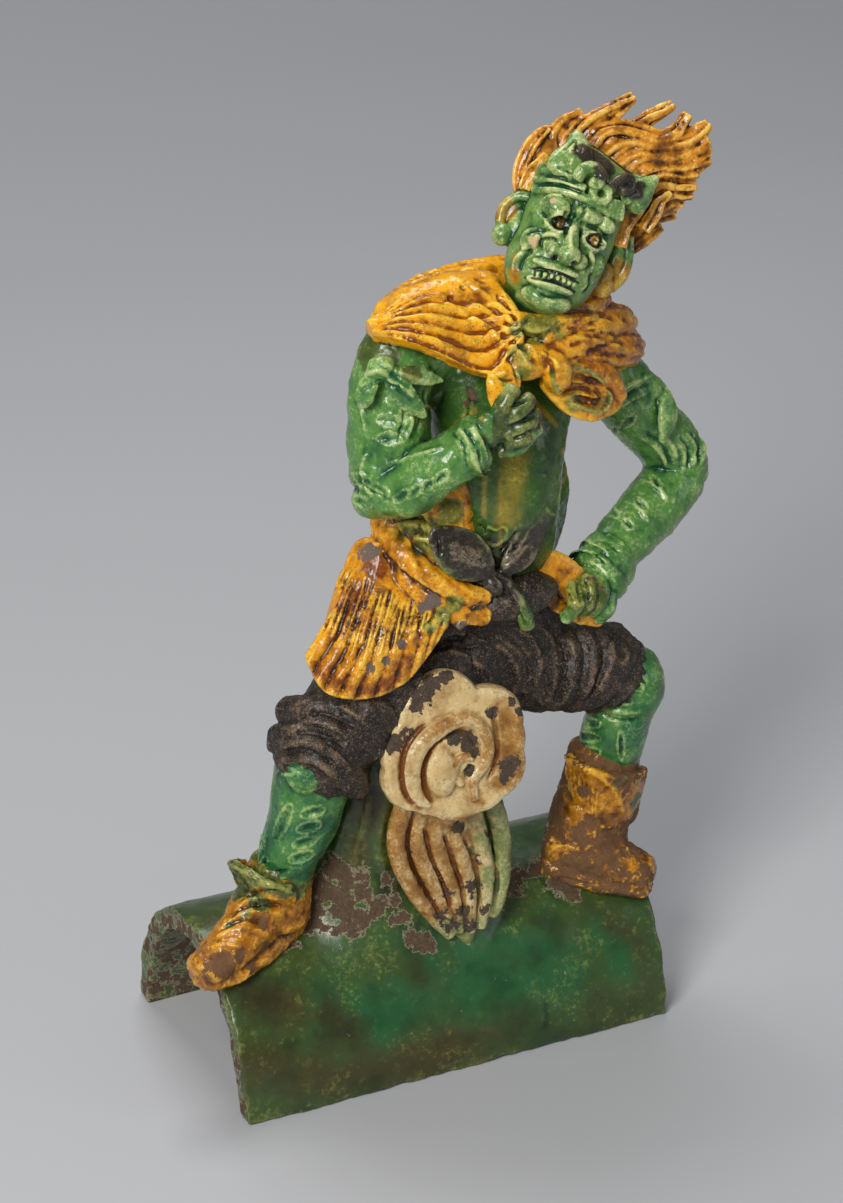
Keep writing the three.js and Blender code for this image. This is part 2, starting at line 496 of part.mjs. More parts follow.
// Hat: a banded crown with two peaks and a rolled cloud ornament over the brow.
const band = (lift, reach, r) => {
  const line = [];
  for (let k = 0; k <= 10; k += 1) {
    const angle = Math.PI * (1.1 - 1.2 * k / 10);
    line.push([reach * 0.98 * Math.cos(angle), lift - 0.12 * reach * Math.cos(angle), -6 + reach * 1.04 * Math.sin(angle), r]);
  }
  return line;
};
add(headRoll(band(27, 41, 5), { sides: 5, rings: 11, front: HEAD_UP }));
add(headRoll(band(36, 39, 5), { sides: 5, rings: 11, front: HEAD_UP }));
add(headRoll([[0, 28, -4, 41, 42], [0, 46, -6, 42, 43], [2, 58, -10, 40, 40]], { sides: 12, rings: 3, dome: 0.2 }));
add(headRoll([[-20, 42, 30, 17, 10], [-20, 58, 22, 13, 9], [-20, 72, 12, 7, 6], [-20, 77, 9, 3, 3]], { sides: 8, rings: 4 }));
add(headRoll([[36, 40, 22, 16, 12], [42, 52, 18, 12, 9], [47, 62, 14, 4, 4]], { sides: 8, rings: 4 }));
add(headRoll([[-18, 66, 8, 6, 8], [0, 60, 6, 6, 8], [20, 56, 6, 6, 8], [42, 58, 8, 5, 7]], { sides: 6, rings: 6, front: HEAD_UP }));
const CURLS = [[-4, 44, 42, 9], [8, 34, 44, 8], [20, 40, 38, 10], [30, 32, 32, 8]];
CURLS.forEach(([s, u, n, r]) => add(inHead(s, u, n, [r, r * 0.8, 7])));

// Hair: flame locks swept back and to the right in long curves, and tufts before the ears.
const LOCKS = [
  [[-28, 62, -22, 10], [-20, 78, -28, 11], [-2, 92, -32, 10], [19, 113, -34, 4]],
  [[-8, 70, -26, 10], [8, 86, -32, 11], [32, 100, -36, 9], [49, 117, -36, 5]],
  [[-6, 70, -16, 9], [14, 90, -18, 10], [43, 97, -20, 9], [61, 117, -22, 5]],
  [[8, 64, -12, 9], [29, 85, -12, 10], [58, 95, -14, 9], [75, 114, -18, 5]],
  [[22, 58, -8, 9], [43, 79, -8, 10], [68, 87, -12, 9], [83, 100, -16, 5]],
  [[32, 50, -8, 9], [58, 72, -10, 10], [78, 80, -14, 8], [88, 92, -18, 5]],
  [[34, 40, -14, 9], [60, 58, -14, 10], [76, 66, -16, 7], [86, 69, -18, 4]],
  [[30, 30, -18, 9], [52, 44, -18, 10], [68, 52, -18, 7], [82, 54, -20, 4]],
  [[28, 20, -22, 9], [46, 32, -22, 10], [62, 40, -22, 7], [76, 42, -22, 4]],
  [[-4, 60, -38, 16], [24, 78, -42, 16], [52, 86, -42, 12], [80, 98, -36, 5]],
  [[10, 40, -42, 16], [36, 56, -44, 16], [60, 66, -40, 12], [82, 74, -32, 5]],
  [[-32, 46, -26, 11], [-35, 60, -26, 11], [-31, 74, -28, 8], [-22, 84, -30, 4]],
  [[-40, 8, -8, 6], [-44, 28, -8, 8], [-41, 50, -12, 8], [-35, 66, -16, 4]],
  [[-38, -6, 12, 3], [-39, 8, 9, 6], [-41, 26, 6, 7], [-40, 42, 3, 5]],
  [[40, 0, 6, 4], [43, 14, 8, 9], [45, 32, 8, 9], [46, 48, 6, 3]],
  [[46, 22, -4, 5], [52, 36, -4, 8], [57, 50, -3, 6], [61, 60, -2, 3]],
];
LOCKS.forEach((line) => add(headRoll(line, { sides: 5, rings: 5, front: HEAD_OUT })));
add(inHead(0, 26, -22, [38, 44, 32], 12, 8));

// Small faces left along the joins are closed up until the body keeps to its number of faces. Each edge
// is drawn together where that moves the surface least, by the sum of squared distances to its planes.
const FACE_LIMIT = 9800;
const CORNER_GAP = 0.004;
function thin(position, index, limit) {
  const points = [];
  for (let i = 0; i < position.length; i += 3) {
    points.push(V(position[i], position[i + 1], position[i + 2]));
  }
  const faces = [];
  const around = points.map(() => new Set());
  const error = points.map(() => new Float64Array(10));
  const area = (p, q, r) => q.clone().sub(p).cross(r.clone().sub(p));
  for (let i = 0; i < index.length; i += 3) {
    const face = [index[i], index[i + 1], index[i + 2]];
    const n = area(...face.map((k) => points[k]));
    const weight = n.length();
    n.normalize();
    const d = -n.dot(points[face[0]]);
    const q = [n.x * n.x, n.x * n.y, n.x * n.z, n.x * d, n.y * n.y, n.y * n.z, n.y * d, n.z * n.z, n.z * d, d * d];
    face.forEach((k) => {
      around[k].add(faces.length);
      q.forEach((value, m) => {
        error[k][m] += value * weight;
      });
    });
    faces.push(face);
  }
  let count = faces.length;
  const cost = (q, p) => q[0] * p.x * p.x + 2 * q[1] * p.x * p.y + 2 * q[2] * p.x * p.z + 2 * q[3] * p.x
    + q[4] * p.y * p.y + 2 * q[5] * p.y * p.z + 2 * q[6] * p.y + q[7] * p.z * p.z + 2 * q[8] * p.z + q[9];
  const neighbours = (k) => new Set([...around[k]].flatMap((f) => faces[f]).filter((m) => m !== k));
  const stamp = points.map(() => 0);
  const plan = (a, b) => {
    const q = error[a].map((value, m) => value + error[b][m]);
    const choices = [points[a], points[b], points[a].clone().lerp(points[b], 0.5)];
    const costs = choices.map((p) => Math.abs(cost(q, p)) + 1e-4 * points[a].distanceToSquared(points[b]));
    const best = costs.indexOf(Math.min(...costs));
    return { a, b, q, spot: choices[best], cost: costs[best], stamp: stamp[a] + stamp[b] };
  };
  const holds = ({ a, b, spot }) => {
    const shared = [...neighbours(a)].filter((k) => neighbours(b).has(k));
    if (shared.length !== 2) {
      return false;
    }
    for (const k of [a, b]) {
      for (const f of around[k]) {
        const face = faces[f];
        if (face.includes(a) && face.includes(b)) {
          continue;
        }
        const before = area(...face.map((m) => points[m]));
        const after = area(...face.map((m) => (m === k ? spot : points[m])));
        const [old, now] = [before.length(), after.length()];
        if (now < Math.min(0.02, old) || (old > 0.05 && before.dot(after) < 0.5 * old * now)) {
          return false;
        }
      }
    }
    return true;
  };
  const edges = () => {
    const list = [];
    faces.forEach((face) => face && face.forEach((a, m) => {
      const b = face[(m + 1) % 3];
      if (a < b) {
        list.push(plan(a, b));
      }
    }));
    return list.sort((one, two) => one.cost - two.cost);
  };
  while (count > limit) {
    const queue = edges();
    const bound = queue[Math.floor(queue.length * 0.12)].cost;
    const start = count;
    for (const step of queue) {
      if (step.cost > bound || count <= limit) {
        break;
      }
      const { a, b } = step;
      if (step.stamp !== stamp[a] + stamp[b] || !around[a].size || !around[b].size || !holds(step)) {
        continue;
      }
      for (const f of [...around[b]]) {
        const face = faces[f];
        if (face.includes(a)) {
          face.forEach((k) => around[k].delete(f));
          faces[f] = null;
          count -= 1;
        } else {
          face[face.indexOf(b)] = a;
          around[a].add(f);
        }
      }
      around[b].clear();
      points[a] = step.spot.clone();
      error[a] = step.q;
      for (const k of [a, b, ...neighbours(a)]) {
        stamp[k] += 1;
      }
    }
    if (count === start) {
      break;
    }
  }
  // Corners that still lie on one another are drawn apart by a hair, so that each is its own point.
  for (let pass = 0; pass < 4; pass += 1) {
    const taken = new Set();
    points.forEach((p, k) => {
      if (!around[k].size) {
        return;
      }
      const keys = [-1, 0, 1].flatMap((x) => [-1, 0, 1].flatMap((y) => [-1, 0, 1].map((z) => [x, y, z])))
        .map(([x, y, z]) => [p.x / CORNER_GAP + x, p.y / CORNER_GAP + y, p.z / CORNER_GAP + z].map(Math.round).join());
      if (keys.some((key) => taken.has(key))) {
        const middle = V(0, 0, 0);
        const ring = [...neighbours(k)];
        ring.forEach((m) => middle.addScaledVector(points[m], 1 / ring.length));
        const away = middle.sub(p);
        p.addScaledVector(away, Math.min(0.5, (4 + pass) * CORNER_GAP / Math.max(away.length(), CORNER_GAP)));
      }
      taken.add([p.x / CORNER_GAP, p.y / CORNER_GAP, p.z / CORNER_GAP].map(Math.round).join());
    });
  }
  // Slivers and sealed pockets under a cubic centimetre between the joined forms are filled.
  const shell = new Map();
  faces.forEach((first, f) => {
    if (!first || shell.has(f)) {
      return;
    }
    const group = new Set([f]);
    for (const g of group) {
      faces[g].forEach((k) => around[k].forEach((h) => group.add(h)));
    }
    let volume = 0;
    group.forEach((g) => {
      const [a, b, c] = faces[g].map((k) => points[k]);
      volume += a.dot(b.clone().cross(c)) / 6;
      shell.set(g, true);
    });
    if (Math.abs(volume) < 1000) {
      group.forEach((g) => {
        shell.set(g, false);
      });
    }
  });
  const place = new Map();
  const kept = [];
  const order = faces.filter((face, f) => face && shell.get(f)).flat().map((k) => {
    if (!place.has(k)) {
      place.set(k, kept.push(...points[k].toArray()) / 3 - 1);
    }
    return place.get(k);
  });
  return { kept, order };
}

// One body, joined, with the channel cut clear through it.
let body = solid(tileBody);
for (const form of forms) {
  body = body.add(solid(form));
}
body = body.subtract(solid(tileChannel));
const joined = body.getMesh();
const { kept, order } = thin(joined.vertProperties, joined.triVerts, FACE_LIMIT);
const geometry = new THREE.BufferGeometry();
geometry.setAttribute('position', new THREE.BufferAttribute(Float32Array.from(kept), 3));
geometry.setIndex(order);
geometry.computeBoundingBox();
const box = geometry.boundingBox;
geometry.translate(-(box.min.x + box.max.x) / 2, -(box.min.y + box.max.y) / 2, -box.min.z);
geometry.computeVertexNormals();

const glaze = new THREE.MeshStandardMaterial({ color: 0x2f7a3c, roughness: 0.3, metalness: 0 });
const figure = new THREE.Mesh(geometry, glaze);
figure.name = 'roof_ridge_figure';

const model = new THREE.Group();
model.add(figure);

export default model;
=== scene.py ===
"""Roof ridge figure: a glazed warrior striding on a ridge tile."""

import math

import bpy
import numpy as np
from mathutils import Matrix, Vector
from mathutils.bvhtree import BVHTree


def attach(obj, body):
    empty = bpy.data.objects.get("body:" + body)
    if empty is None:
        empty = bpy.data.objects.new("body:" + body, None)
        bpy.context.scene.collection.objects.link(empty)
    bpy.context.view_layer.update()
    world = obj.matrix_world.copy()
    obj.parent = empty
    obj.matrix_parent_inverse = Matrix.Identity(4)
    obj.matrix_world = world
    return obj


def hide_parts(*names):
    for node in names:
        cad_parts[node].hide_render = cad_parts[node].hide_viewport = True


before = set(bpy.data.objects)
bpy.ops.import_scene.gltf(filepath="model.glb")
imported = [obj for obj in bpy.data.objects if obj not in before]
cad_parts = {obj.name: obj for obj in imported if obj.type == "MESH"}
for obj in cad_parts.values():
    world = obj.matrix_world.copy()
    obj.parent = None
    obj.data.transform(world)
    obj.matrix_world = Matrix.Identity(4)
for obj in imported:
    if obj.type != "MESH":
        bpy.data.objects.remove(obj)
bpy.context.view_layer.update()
NODE = "roof_ridge_figure"

# Studio: a pale sweep of floor, a large soft window to the left, a weak fill to the right and a
# light from behind. The camera stands to the left of the front and looks down on the tile.
MM = 0.001
TILE_RISE = 129.0
FOOT_BAND = 0.002
foot_points = [v.co.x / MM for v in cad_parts[NODE].data.vertices if v.co.z < FOOT_BAND]
TILE_MIDDLE = (min(foot_points) + max(foot_points)) / 2

FRAME_WIDTH, FRAME_HEIGHT = 843, 1203
CAMERA_AZIMUTH = math.radians(-25.99)
CAMERA_ELEVATION = math.radians(27.05)
CAMERA_DISTANCE = 3200.0
CAMERA_TARGET = np.array([TILE_MIDDLE + 3.0, -29.94, 383.77])
LENS_PIXELS = 4134.76
SENSOR = 36.0

VIEW_BACK = np.array([math.sin(CAMERA_AZIMUTH) * math.cos(CAMERA_ELEVATION),
                      -math.cos(CAMERA_AZIMUTH) * math.cos(CAMERA_ELEVATION),
                      math.sin(CAMERA_ELEVATION)])
VIEW_RIGHT = np.array([math.cos(CAMERA_AZIMUTH), math.sin(CAMERA_AZIMUTH), 0.0])
VIEW_UP = np.cross(VIEW_BACK, VIEW_RIGHT)
EYE = CAMERA_TARGET + VIEW_BACK * CAMERA_DISTANCE

camera_data = bpy.data.cameras.new("camera")
camera_data.sensor_width = SENSOR
camera_data.lens = LENS_PIXELS * SENSOR / FRAME_HEIGHT
camera_data.clip_end = 60.0
camera = bpy.data.objects.new("camera", camera_data)
bpy.context.scene.collection.objects.link(camera)
camera.matrix_world = Matrix(
    [[VIEW_RIGHT[i], VIEW_UP[i], VIEW_BACK[i], EYE[i] * MM] for i in range(3)] + [[0, 0, 0, 1]])
bpy.context.scene.camera = camera


def ray_through(x, y):
    """Direction from the camera through a point of the photograph."""
    ray = VIEW_RIGHT * (x - FRAME_WIDTH / 2) - VIEW_UP * (y - FRAME_HEIGHT / 2)
    ray = ray - VIEW_BACK * LENS_PIXELS
    return ray / np.linalg.norm(ray)


def area_light(name, place, target, size, power, colour):
    data = bpy.data.lights.new(name, "AREA")
    data.shape = "RECTANGLE"
    data.size, data.size_y = size
    data.energy = power
    data.color = colour
    lamp = bpy.data.objects.new(name, data)
    bpy.context.scene.collection.objects.link(lamp)
    lamp.location = place
    lamp.rotation_euler = (Vector(target) - Vector(place)).to_track_quat("-Z", "Y").to_euler()


# Each light in metres and watts: name, place, what it points at, size, power and colour.
LIGHTS = [("window", (-2.2, -1.9, 2.5), (0, 0, 0.35), (1.25, 1.45), 96, (1.0, 0.99, 0.97)),
          ("fill", (2.7, -2.0, 1.3), (0, 0, 0.35), (1.2, 1.6), 9, (0.94, 0.97, 1.0)),
          ("top", (0.2, 1.1, 3.0), (0, 0, 0.3), (1.4, 1.0), 32, (1.0, 1.0, 1.0))]
for light in LIGHTS:
    area_light(*light)

ROOM_LIGHT, ROOM_STRENGTH = (0.93, 0.95, 1.0, 1), 0.17
world = bpy.data.worlds.new("studio")
bpy.context.scene.world = world
world.use_nodes = True
world.node_tree.nodes["Background"].inputs["Color"].default_value = ROOM_LIGHT
world.node_tree.nodes["Background"].inputs["Strength"].default_value = ROOM_STRENGTH
bpy.context.scene.view_settings.view_transform = "Standard"

FLOOR_FRONT, SWEEP_START, SWEEP_RADIUS, SWEEP_TOP, FLOOR_HALF = -6.0, 1.6, 4.6, 6.0, 7.0
FLOOR_GREY, FLOOR_ROUGHNESS = (0.54, 0.545, 0.562, 1), 0.75
sweep = [(FLOOR_FRONT, 0.0), (SWEEP_START, 0.0)]
sweep += [(SWEEP_START + SWEEP_RADIUS * math.sin(a), SWEEP_RADIUS * (1 - math.cos(a)))
          for a in np.linspace(0.1, math.pi / 2, 14)]
sweep += [(SWEEP_START + SWEEP_RADIUS, SWEEP_TOP)]
floor_mesh = bpy.data.meshes.new("floor")
floor_mesh.from_pydata([(x, y, z) for y, z in sweep for x in (-FLOOR_HALF, FLOOR_HALF)], [],
                       [(2 * k, 2 * k + 1, 2 * k + 3, 2 * k + 2) for k in range(len(sweep) - 1)])
floor_mesh.shade_smooth()
floor = bpy.data.objects.new("floor", floor_mesh)
bpy.context.scene.collection.objects.link(floor)
floor_paint = bpy.data.materials.new("floor_paint")
floor_paint.use_nodes = True
floor_shader = floor_paint.node_tree.nodes["Principled BSDF"]
floor_shader.inputs["Base Color"].default_value = FLOOR_GREY
floor_shader.inputs["Roughness"].default_value = FLOOR_ROUGHNESS
floor_mesh.materials.append(floor_paint)

# Ridge tile and mound: an inverted trough of thick clay with the support for the figure drawn up
# from its crown. One body under a mottled green glaze, chipped along its edges. From here on the
# sizes are in mm from the middle of the tile's crown, with X along the ridge and Z up.
TILE_LENGTH, TILE_WIDTH, TILE_WALL = 375.0, 220.0, 19.0
FRONT = np.array([0.0, -1.0, 0.0])
UP = np.array([0.0, 0.0, 1.0])
CROWN = np.array([TILE_MIDDLE, 0.0, TILE_RISE])


def unit(v):
    v = np.asarray(v, float)
    return v / np.linalg.norm(v)


def curve(points, count):
    """Rows spaced along a smooth curve through the given rows."""
    p = np.asarray(points, float)
    ext = np.vstack([2 * p[0] - p[1], p, 2 * p[-1] - p[-2]])
    t = np.linspace(0, len(p) - 1, count)
    i = np.minimum(t.astype(int), len(p) - 2)
    f = (t - i)[:, None]
    a, b, c, d = ext[i], ext[i + 1], ext[i + 2], ext[i + 3]
    steep = (3 * b - a - 3 * c + d) * f ** 3
    return 0.5 * (2 * b + (c - a) * f + (2 * a - 5 * b + 4 * c - d) * f ** 2 + steep)


def skin(rings, first, last):
    """Rings of equal count closed into a skin with a point at each end."""
    n, sides = rings.shape[:2]
    points = np.vstack([rings.reshape(-1, 3), first, last])
    j = np.arange(sides)
    k = (j + 1) % sides
    starts = np.arange(n - 1)[:, None] * sides
    quads = np.stack([starts + j, starts + k, starts + sides + k, starts + sides + j], -1)
    end = (n - 1) * sides
    faces = quads.reshape(-1, 4).tolist()
    faces += [(n * sides, int(b), int(a)) for a, b in zip(j, k)]
    faces += [(n * sides + 1, int(end + a), int(end + b)) for a, b in zip(j, k)]
    return points, faces


def roll(stations, sides=36, step=2.0, front=FRONT, relief=None, dome=0.5, place=None):
    """A limb of clay along stations [x, y, z, half width, half depth], with domed ends.
    relief(u, angle) adds to the radius; 90 degrees looks to the front."""
    rows = np.array([[*s[:3], s[3], s[-1]] for s in stations], float)
    if place:
        rows[:, :3] = place(rows[:, 0], rows[:, 1], rows[:, 2])
    length = np.linalg.norm(np.diff(rows[:, :3], axis=0), axis=1).sum()
    rows = curve(rows, max(6, int(length / step)) + 1)
    along = np.gradient(rows[:, :3], axis=0)
    along /= np.linalg.norm(along, axis=1)[:, None]
    across = np.cross(along, front)
    across /= np.linalg.norm(across, axis=1)[:, None]
    ahead = np.cross(across, along)
    angle = 2 * np.pi * (np.arange(sides) + 0.5) / sides
    u = np.linspace(0, 1, len(rows))
    more = relief(u[:, None], angle[None, :]) if relief else 0.0
    more = np.broadcast_to(more, (len(rows), sides))
    wide = np.maximum(rows[:, 3:4], 0.3) + more
    deep = np.maximum(rows[:, 4:5], 0.3) + more
    body = across[:, None] * (wide * np.cos(angle))[..., None]
    body = body + ahead[:, None] * (deep * np.sin(angle))[..., None]
    rings = rows[:, None, :3] + body
    bulge = dome * (rows[:, 3] + rows[:, 4]) / 2
    lids = np.radians([62, 40, 20]) if dome else []
    start = [rows[0, :3] - along[0] * bulge[0] * math.sin(a) + body[0] * math.cos(a) for a in lids]
    stop = [rows[-1, :3] + along[-1] * bulge[-1] * math.sin(a) + body[-1] * math.cos(a) for a in lids[::-1]]
    rings = np.concatenate([np.array(start).reshape(-1, sides, 3), rings,
                            np.array(stop).reshape(-1, sides, 3)])
    return skin(rings, rows[0, :3] - along[0] * bulge[0], rows[-1, :3] + along[-1] * bulge[-1])


def lump(centre, radii, axes=None, sides=28, rings=18):
    """A stretched ball of clay."""
    a, b, c = np.eye(3) if axes is None else axes
    polar = np.pi * np.arange(1, rings) / rings
    turn = 2 * np.pi * np.arange(sides) / sides
    x = np.sin(polar)[:, None] * np.cos(turn)
    y = np.sin(polar)[:, None] * np.sin(turn)
    z = np.cos(polar)[:, None] * np.ones(sides)
    spots = x[..., None] * radii[0] * a + y[..., None] * radii[1] * b + z[..., None] * radii[2] * c
    return skin(spots + centre, np.array(centre) + c * radii[2], np.array(centre) - c * radii[2])


def sheet(surface, thick, across=60, down=30, out=None):
    """A sheet of clay over surface(u, v), thickened to both sides along out or its own normals."""
    u, v = np.meshgrid(np.linspace(0, 1, across + 1), np.linspace(0, 1, down + 1))
    p = surface(u, v)
    if out is None:
        away = np.cross(np.gradient(p, axis=1), np.gradient(p, axis=0))
        away /= np.maximum(np.linalg.norm(away, axis=2), 1e-9)[..., None]
    else:
        away = np.broadcast_to(unit(out), p.shape)
    half = thick(u, v)[..., None] / 2 if callable(thick) else thick / 2
    points = np.vstack([(p + away * half).reshape(-1, 3), (p - away * half).reshape(-1, 3)])
    n = (across + 1) * (down + 1)
    ids = np.arange(n).reshape(down + 1, across + 1)
    top = np.stack([ids[:-1, :-1], ids[:-1, 1:], ids[1:, 1:], ids[1:, :-1]], -1).reshape(-1, 4)
    faces = top.tolist() + (top[:, ::-1] + n).tolist()
    rim = list(ids[0, :-1]) + list(ids[:-1, -1]) + list(ids[-1, :0:-1]) + list(ids[:0:-1, 0])
    faces += [(int(b), int(a), int(a) + n, int(b) + n) for a, b in zip(rim, rim[1:] + rim[:1])]
    return points, faces


def smoothstep(x, low, high):
    t = np.clip((x - low) / (high - low), 0, 1)
    return t * t * (3 - 2 * t)


def waves(p, size, seed=0, octaves=3):
    """Smooth unevenness between about -1 and 1 over points, with swells of about the given size."""
    rng = np.random.default_rng(seed)
    out = np.zeros(len(p))
    total = 0.0
    for k in range(octaves):
        for _ in range(5):
            d = unit(rng.normal(size=3)) * 2 * np.pi / size * 2 ** k * rng.uniform(0.7, 1.3)
            bent = 1.3 * np.sin(p @ d[[1, 2, 0]] * 0.7 + rng.uniform(0, 6.28))
            out += np.sin(p @ d + rng.uniform(0, 6.28) + bent) / 2 ** k
        total += 2.2 / 2 ** k
    return out / total


class Clay:
    """Lumps and rolls fused into one body of clay that can be pressed, drawn on and stained."""

    def __init__(self, parts, grain, soften=2):
        points, faces = [], []
        count = 0
        for p, f in parts:
            points.append(p)
            faces += [tuple(k + count for k in face) for face in f]
            count += len(p)
        raw = bpy.data.meshes.new("raw")
        raw.from_pydata(np.vstack(points).tolist(), [], faces)
        holder = bpy.data.objects.new("raw", raw)
        bpy.context.scene.collection.objects.link(holder)
        remesh = holder.modifiers.new("fuse", "REMESH")
        remesh.mode = "VOXEL"
        remesh.voxel_size = grain
        fused = holder.evaluated_get(bpy.context.evaluated_depsgraph_get()).to_mesh()
        v = np.zeros(len(fused.vertices) * 3)
        fused.vertices.foreach_get("co", v)
        edges = np.zeros(len(fused.edges) * 2, np.int32)
        fused.edges.foreach_get("vertices", edges)
        loops = np.zeros(len(fused.loops), np.int32)
        fused.loops.foreach_get("vertex_index", loops)
        self.v, self.e, self.f = v.reshape(-1, 3), edges.reshape(-1, 2), loops.reshape(-1, 4)
        holder.to_mesh_clear()
        bpy.data.objects.remove(holder)
        bpy.data.meshes.remove(raw)
        self.grain = grain
        self.drop_crumbs()
        self.degree = np.bincount(self.e.ravel(), minlength=len(self.v)).astype(float)
        self.marks = {}
        self.tree = None
        self.soften(soften)

    def drop_crumbs(self, least=400):
        """Leaves out specks that came loose when the parts were fused."""
        a, b = self.e.T
        body = np.arange(len(self.v))
        settled = False
        while not settled:
            lowest = np.minimum(body[a], body[b])
            found = body.copy()
            np.minimum.at(found, a, lowest)
            np.minimum.at(found, b, lowest)
            found = found[found]
            settled = np.array_equal(found, body)
            body = found
        kept = np.bincount(body, minlength=len(body))[body] >= least
        place = np.cumsum(kept) - 1
        self.v = self.v[kept]
        self.e = place[self.e[kept[self.e[:, 0]]]]
        self.f = place[self.f[kept[self.f[:, 0]]]]

    def around(self, values):
        """Mean over each point's neighbours."""
        a, b = self.e.T
        n = len(self.v)
        columns = values.reshape(n, -1).T
        out = [np.bincount(a, c[b], n) + np.bincount(b, c[a], n) for c in columns]
        return (np.array(out) / self.degree).T.reshape(values.shape)

    def soften(self, times):
        """Smooths the surface and keeps its volume."""
        for _ in range(times):
            self.v = self.v + 0.5 * (self.around(self.v) - self.v)
            self.v = self.v - 0.52 * (self.around(self.v) - self.v)
        self.normals()

    def normals(self):
        p = self.v[self.f]
        n = np.cross(p[:, 2] - p[:, 0], p[:, 3] - p[:, 1])
        total = [sum(np.bincount(self.f[:, k], n[:, c], len(self.v)) for k in range(4)) for c in range(3)]
        out = np.array(total).T
        self.n = out / np.maximum(np.linalg.norm(out, axis=1), 1e-9)[:, None]
        self.tree = None

    def hit(self, start, ray):
        if self.tree is None:
            self.tree = BVHTree.FromPolygons(self.v.tolist(), self.f.tolist())
        spot = self.tree.ray_cast(Vector(start), Vector(ray))[0]
        return None if spot is None else np.array(spot)

    def seen(self, pixels):
        """Points on the clay that show at places of the photograph."""
        hits = [self.hit(EYE - CROWN, ray_through(x, y)) for x, y in pixels]
        return [h for h in hits if h is not None]

    def near(self, line, reach):
        """Points within reach of a line, with their distances from it and their places along it."""
        low, high = line.min(0) - reach, line.max(0) + reach
        inside = np.flatnonzero(((self.v > low) & (self.v < high)).all(1))
        p = self.v[inside]
        best = np.full(len(p), 1e9)
        spot = np.zeros(len(p))
        lengths = np.concatenate([[0], np.cumsum(np.linalg.norm(np.diff(line, axis=0), axis=1))])
        for k in range(len(line) - 1):
            a, d = line[k], line[k + 1] - line[k]
            t = np.clip((p - a) @ d / max(d @ d, 1e-9), 0, 1)
            dist = np.linalg.norm(p - a - t[:, None] * d, axis=1)
            closer = dist < best
            best[closer] = dist[closer]
            spot[closer] = (lengths[k] + t[closer] * (lengths[k + 1] - lengths[k])) / max(lengths[-1], 1e-9)
        close = best < reach
        return inside[close], best[close], spot[close]

    def press(self, line, width, height, taper=True):
        """Raises (or, below zero, sinks) the clay along a line, dying away at its ends."""
        if len(line) < 2:
            return
        line = curve(line, 4 * len(line)) if len(line) > 2 else np.asarray(line, float)
        who, dist, t = self.near(line, 3 * width)
        shape = np.exp(-(dist / width) ** 2)
        if taper:
            shape = shape * np.clip(np.sin(np.pi * t) * 1.8 + 0.15, 0, 1)
        self.v[who] += self.n[who] * (height * shape)[:, None]

    def draw(self, lines, width, height, taper=True):
        """Presses lines that are given as they show in the photograph."""
        for line in lines:
            self.press(self.seen(line), width, height, taper)
        self.normals()

    def ovals(self, places, width=0.9, height=0.8):
        """Petal shapes with a raised rim and a sunken middle, given as they show in the
        photograph: middle, half length, half breadth and tilt in degrees."""
        turn = np.linspace(0, 2 * np.pi, 19)
        for x, y, long, short, tilt in places:
            c, s = math.cos(math.radians(tilt)), math.sin(math.radians(tilt))
            a, b = long * np.cos(turn), short * np.sin(turn)
            ring = self.seen(zip(x + a * c - b * s, y + a * s + b * c))
            inside = self.seen([(x + k * long * c, y + k * long * s) for k in (-0.6, 0, 0.6)])
            self.press(ring, width, height, taper=False)
            self.press(inside, max(width, 0.34 * short), -1.7 * height)
        self.normals()

    def mark(self, name):
        return self.marks.setdefault(name, np.zeros(len(self.v)))

    def stain(self, name, line, width, amount=1.0):
        """Marks a band along a line for the glaze."""
        if len(line) < 2:
            return
        line = curve(line, 4 * len(line)) if len(line) > 2 else np.asarray(line, float)
        who, dist, _ = self.near(line, 3 * width)
        mark = self.mark(name)
        mark[who] = np.maximum(mark[who], amount * np.exp(-(dist / width) ** 2))

    def stains(self, name, bands):
        """Bands as they show in the photograph: line, width in mm and strength."""
        for line, width, amount in bands:
            self.stain(name, self.seen(line), width, amount)

    def blot(self, name, centre, radius, amount=1.0):
        """Marks a round patch for the glaze; below zero it wipes the mark."""
        far = np.linalg.norm(self.v - centre, axis=1) / radius
        near = np.clip(1.55 - far, 0, 1) if name == "bare" else smoothstep(-far, -1.5, -0.5)
        mark = self.mark(name)
        mark[:] = np.maximum(mark, amount * near) if amount > 0 else mark * (1 + amount * near)

    def blots(self, name, places):
        """Patches as they show in the photograph: middle, radius in mm and strength."""
        for x, y, radius, amount in places:
            for spot in self.seen([(x, y)]):
                self.blot(name, spot, radius, amount)

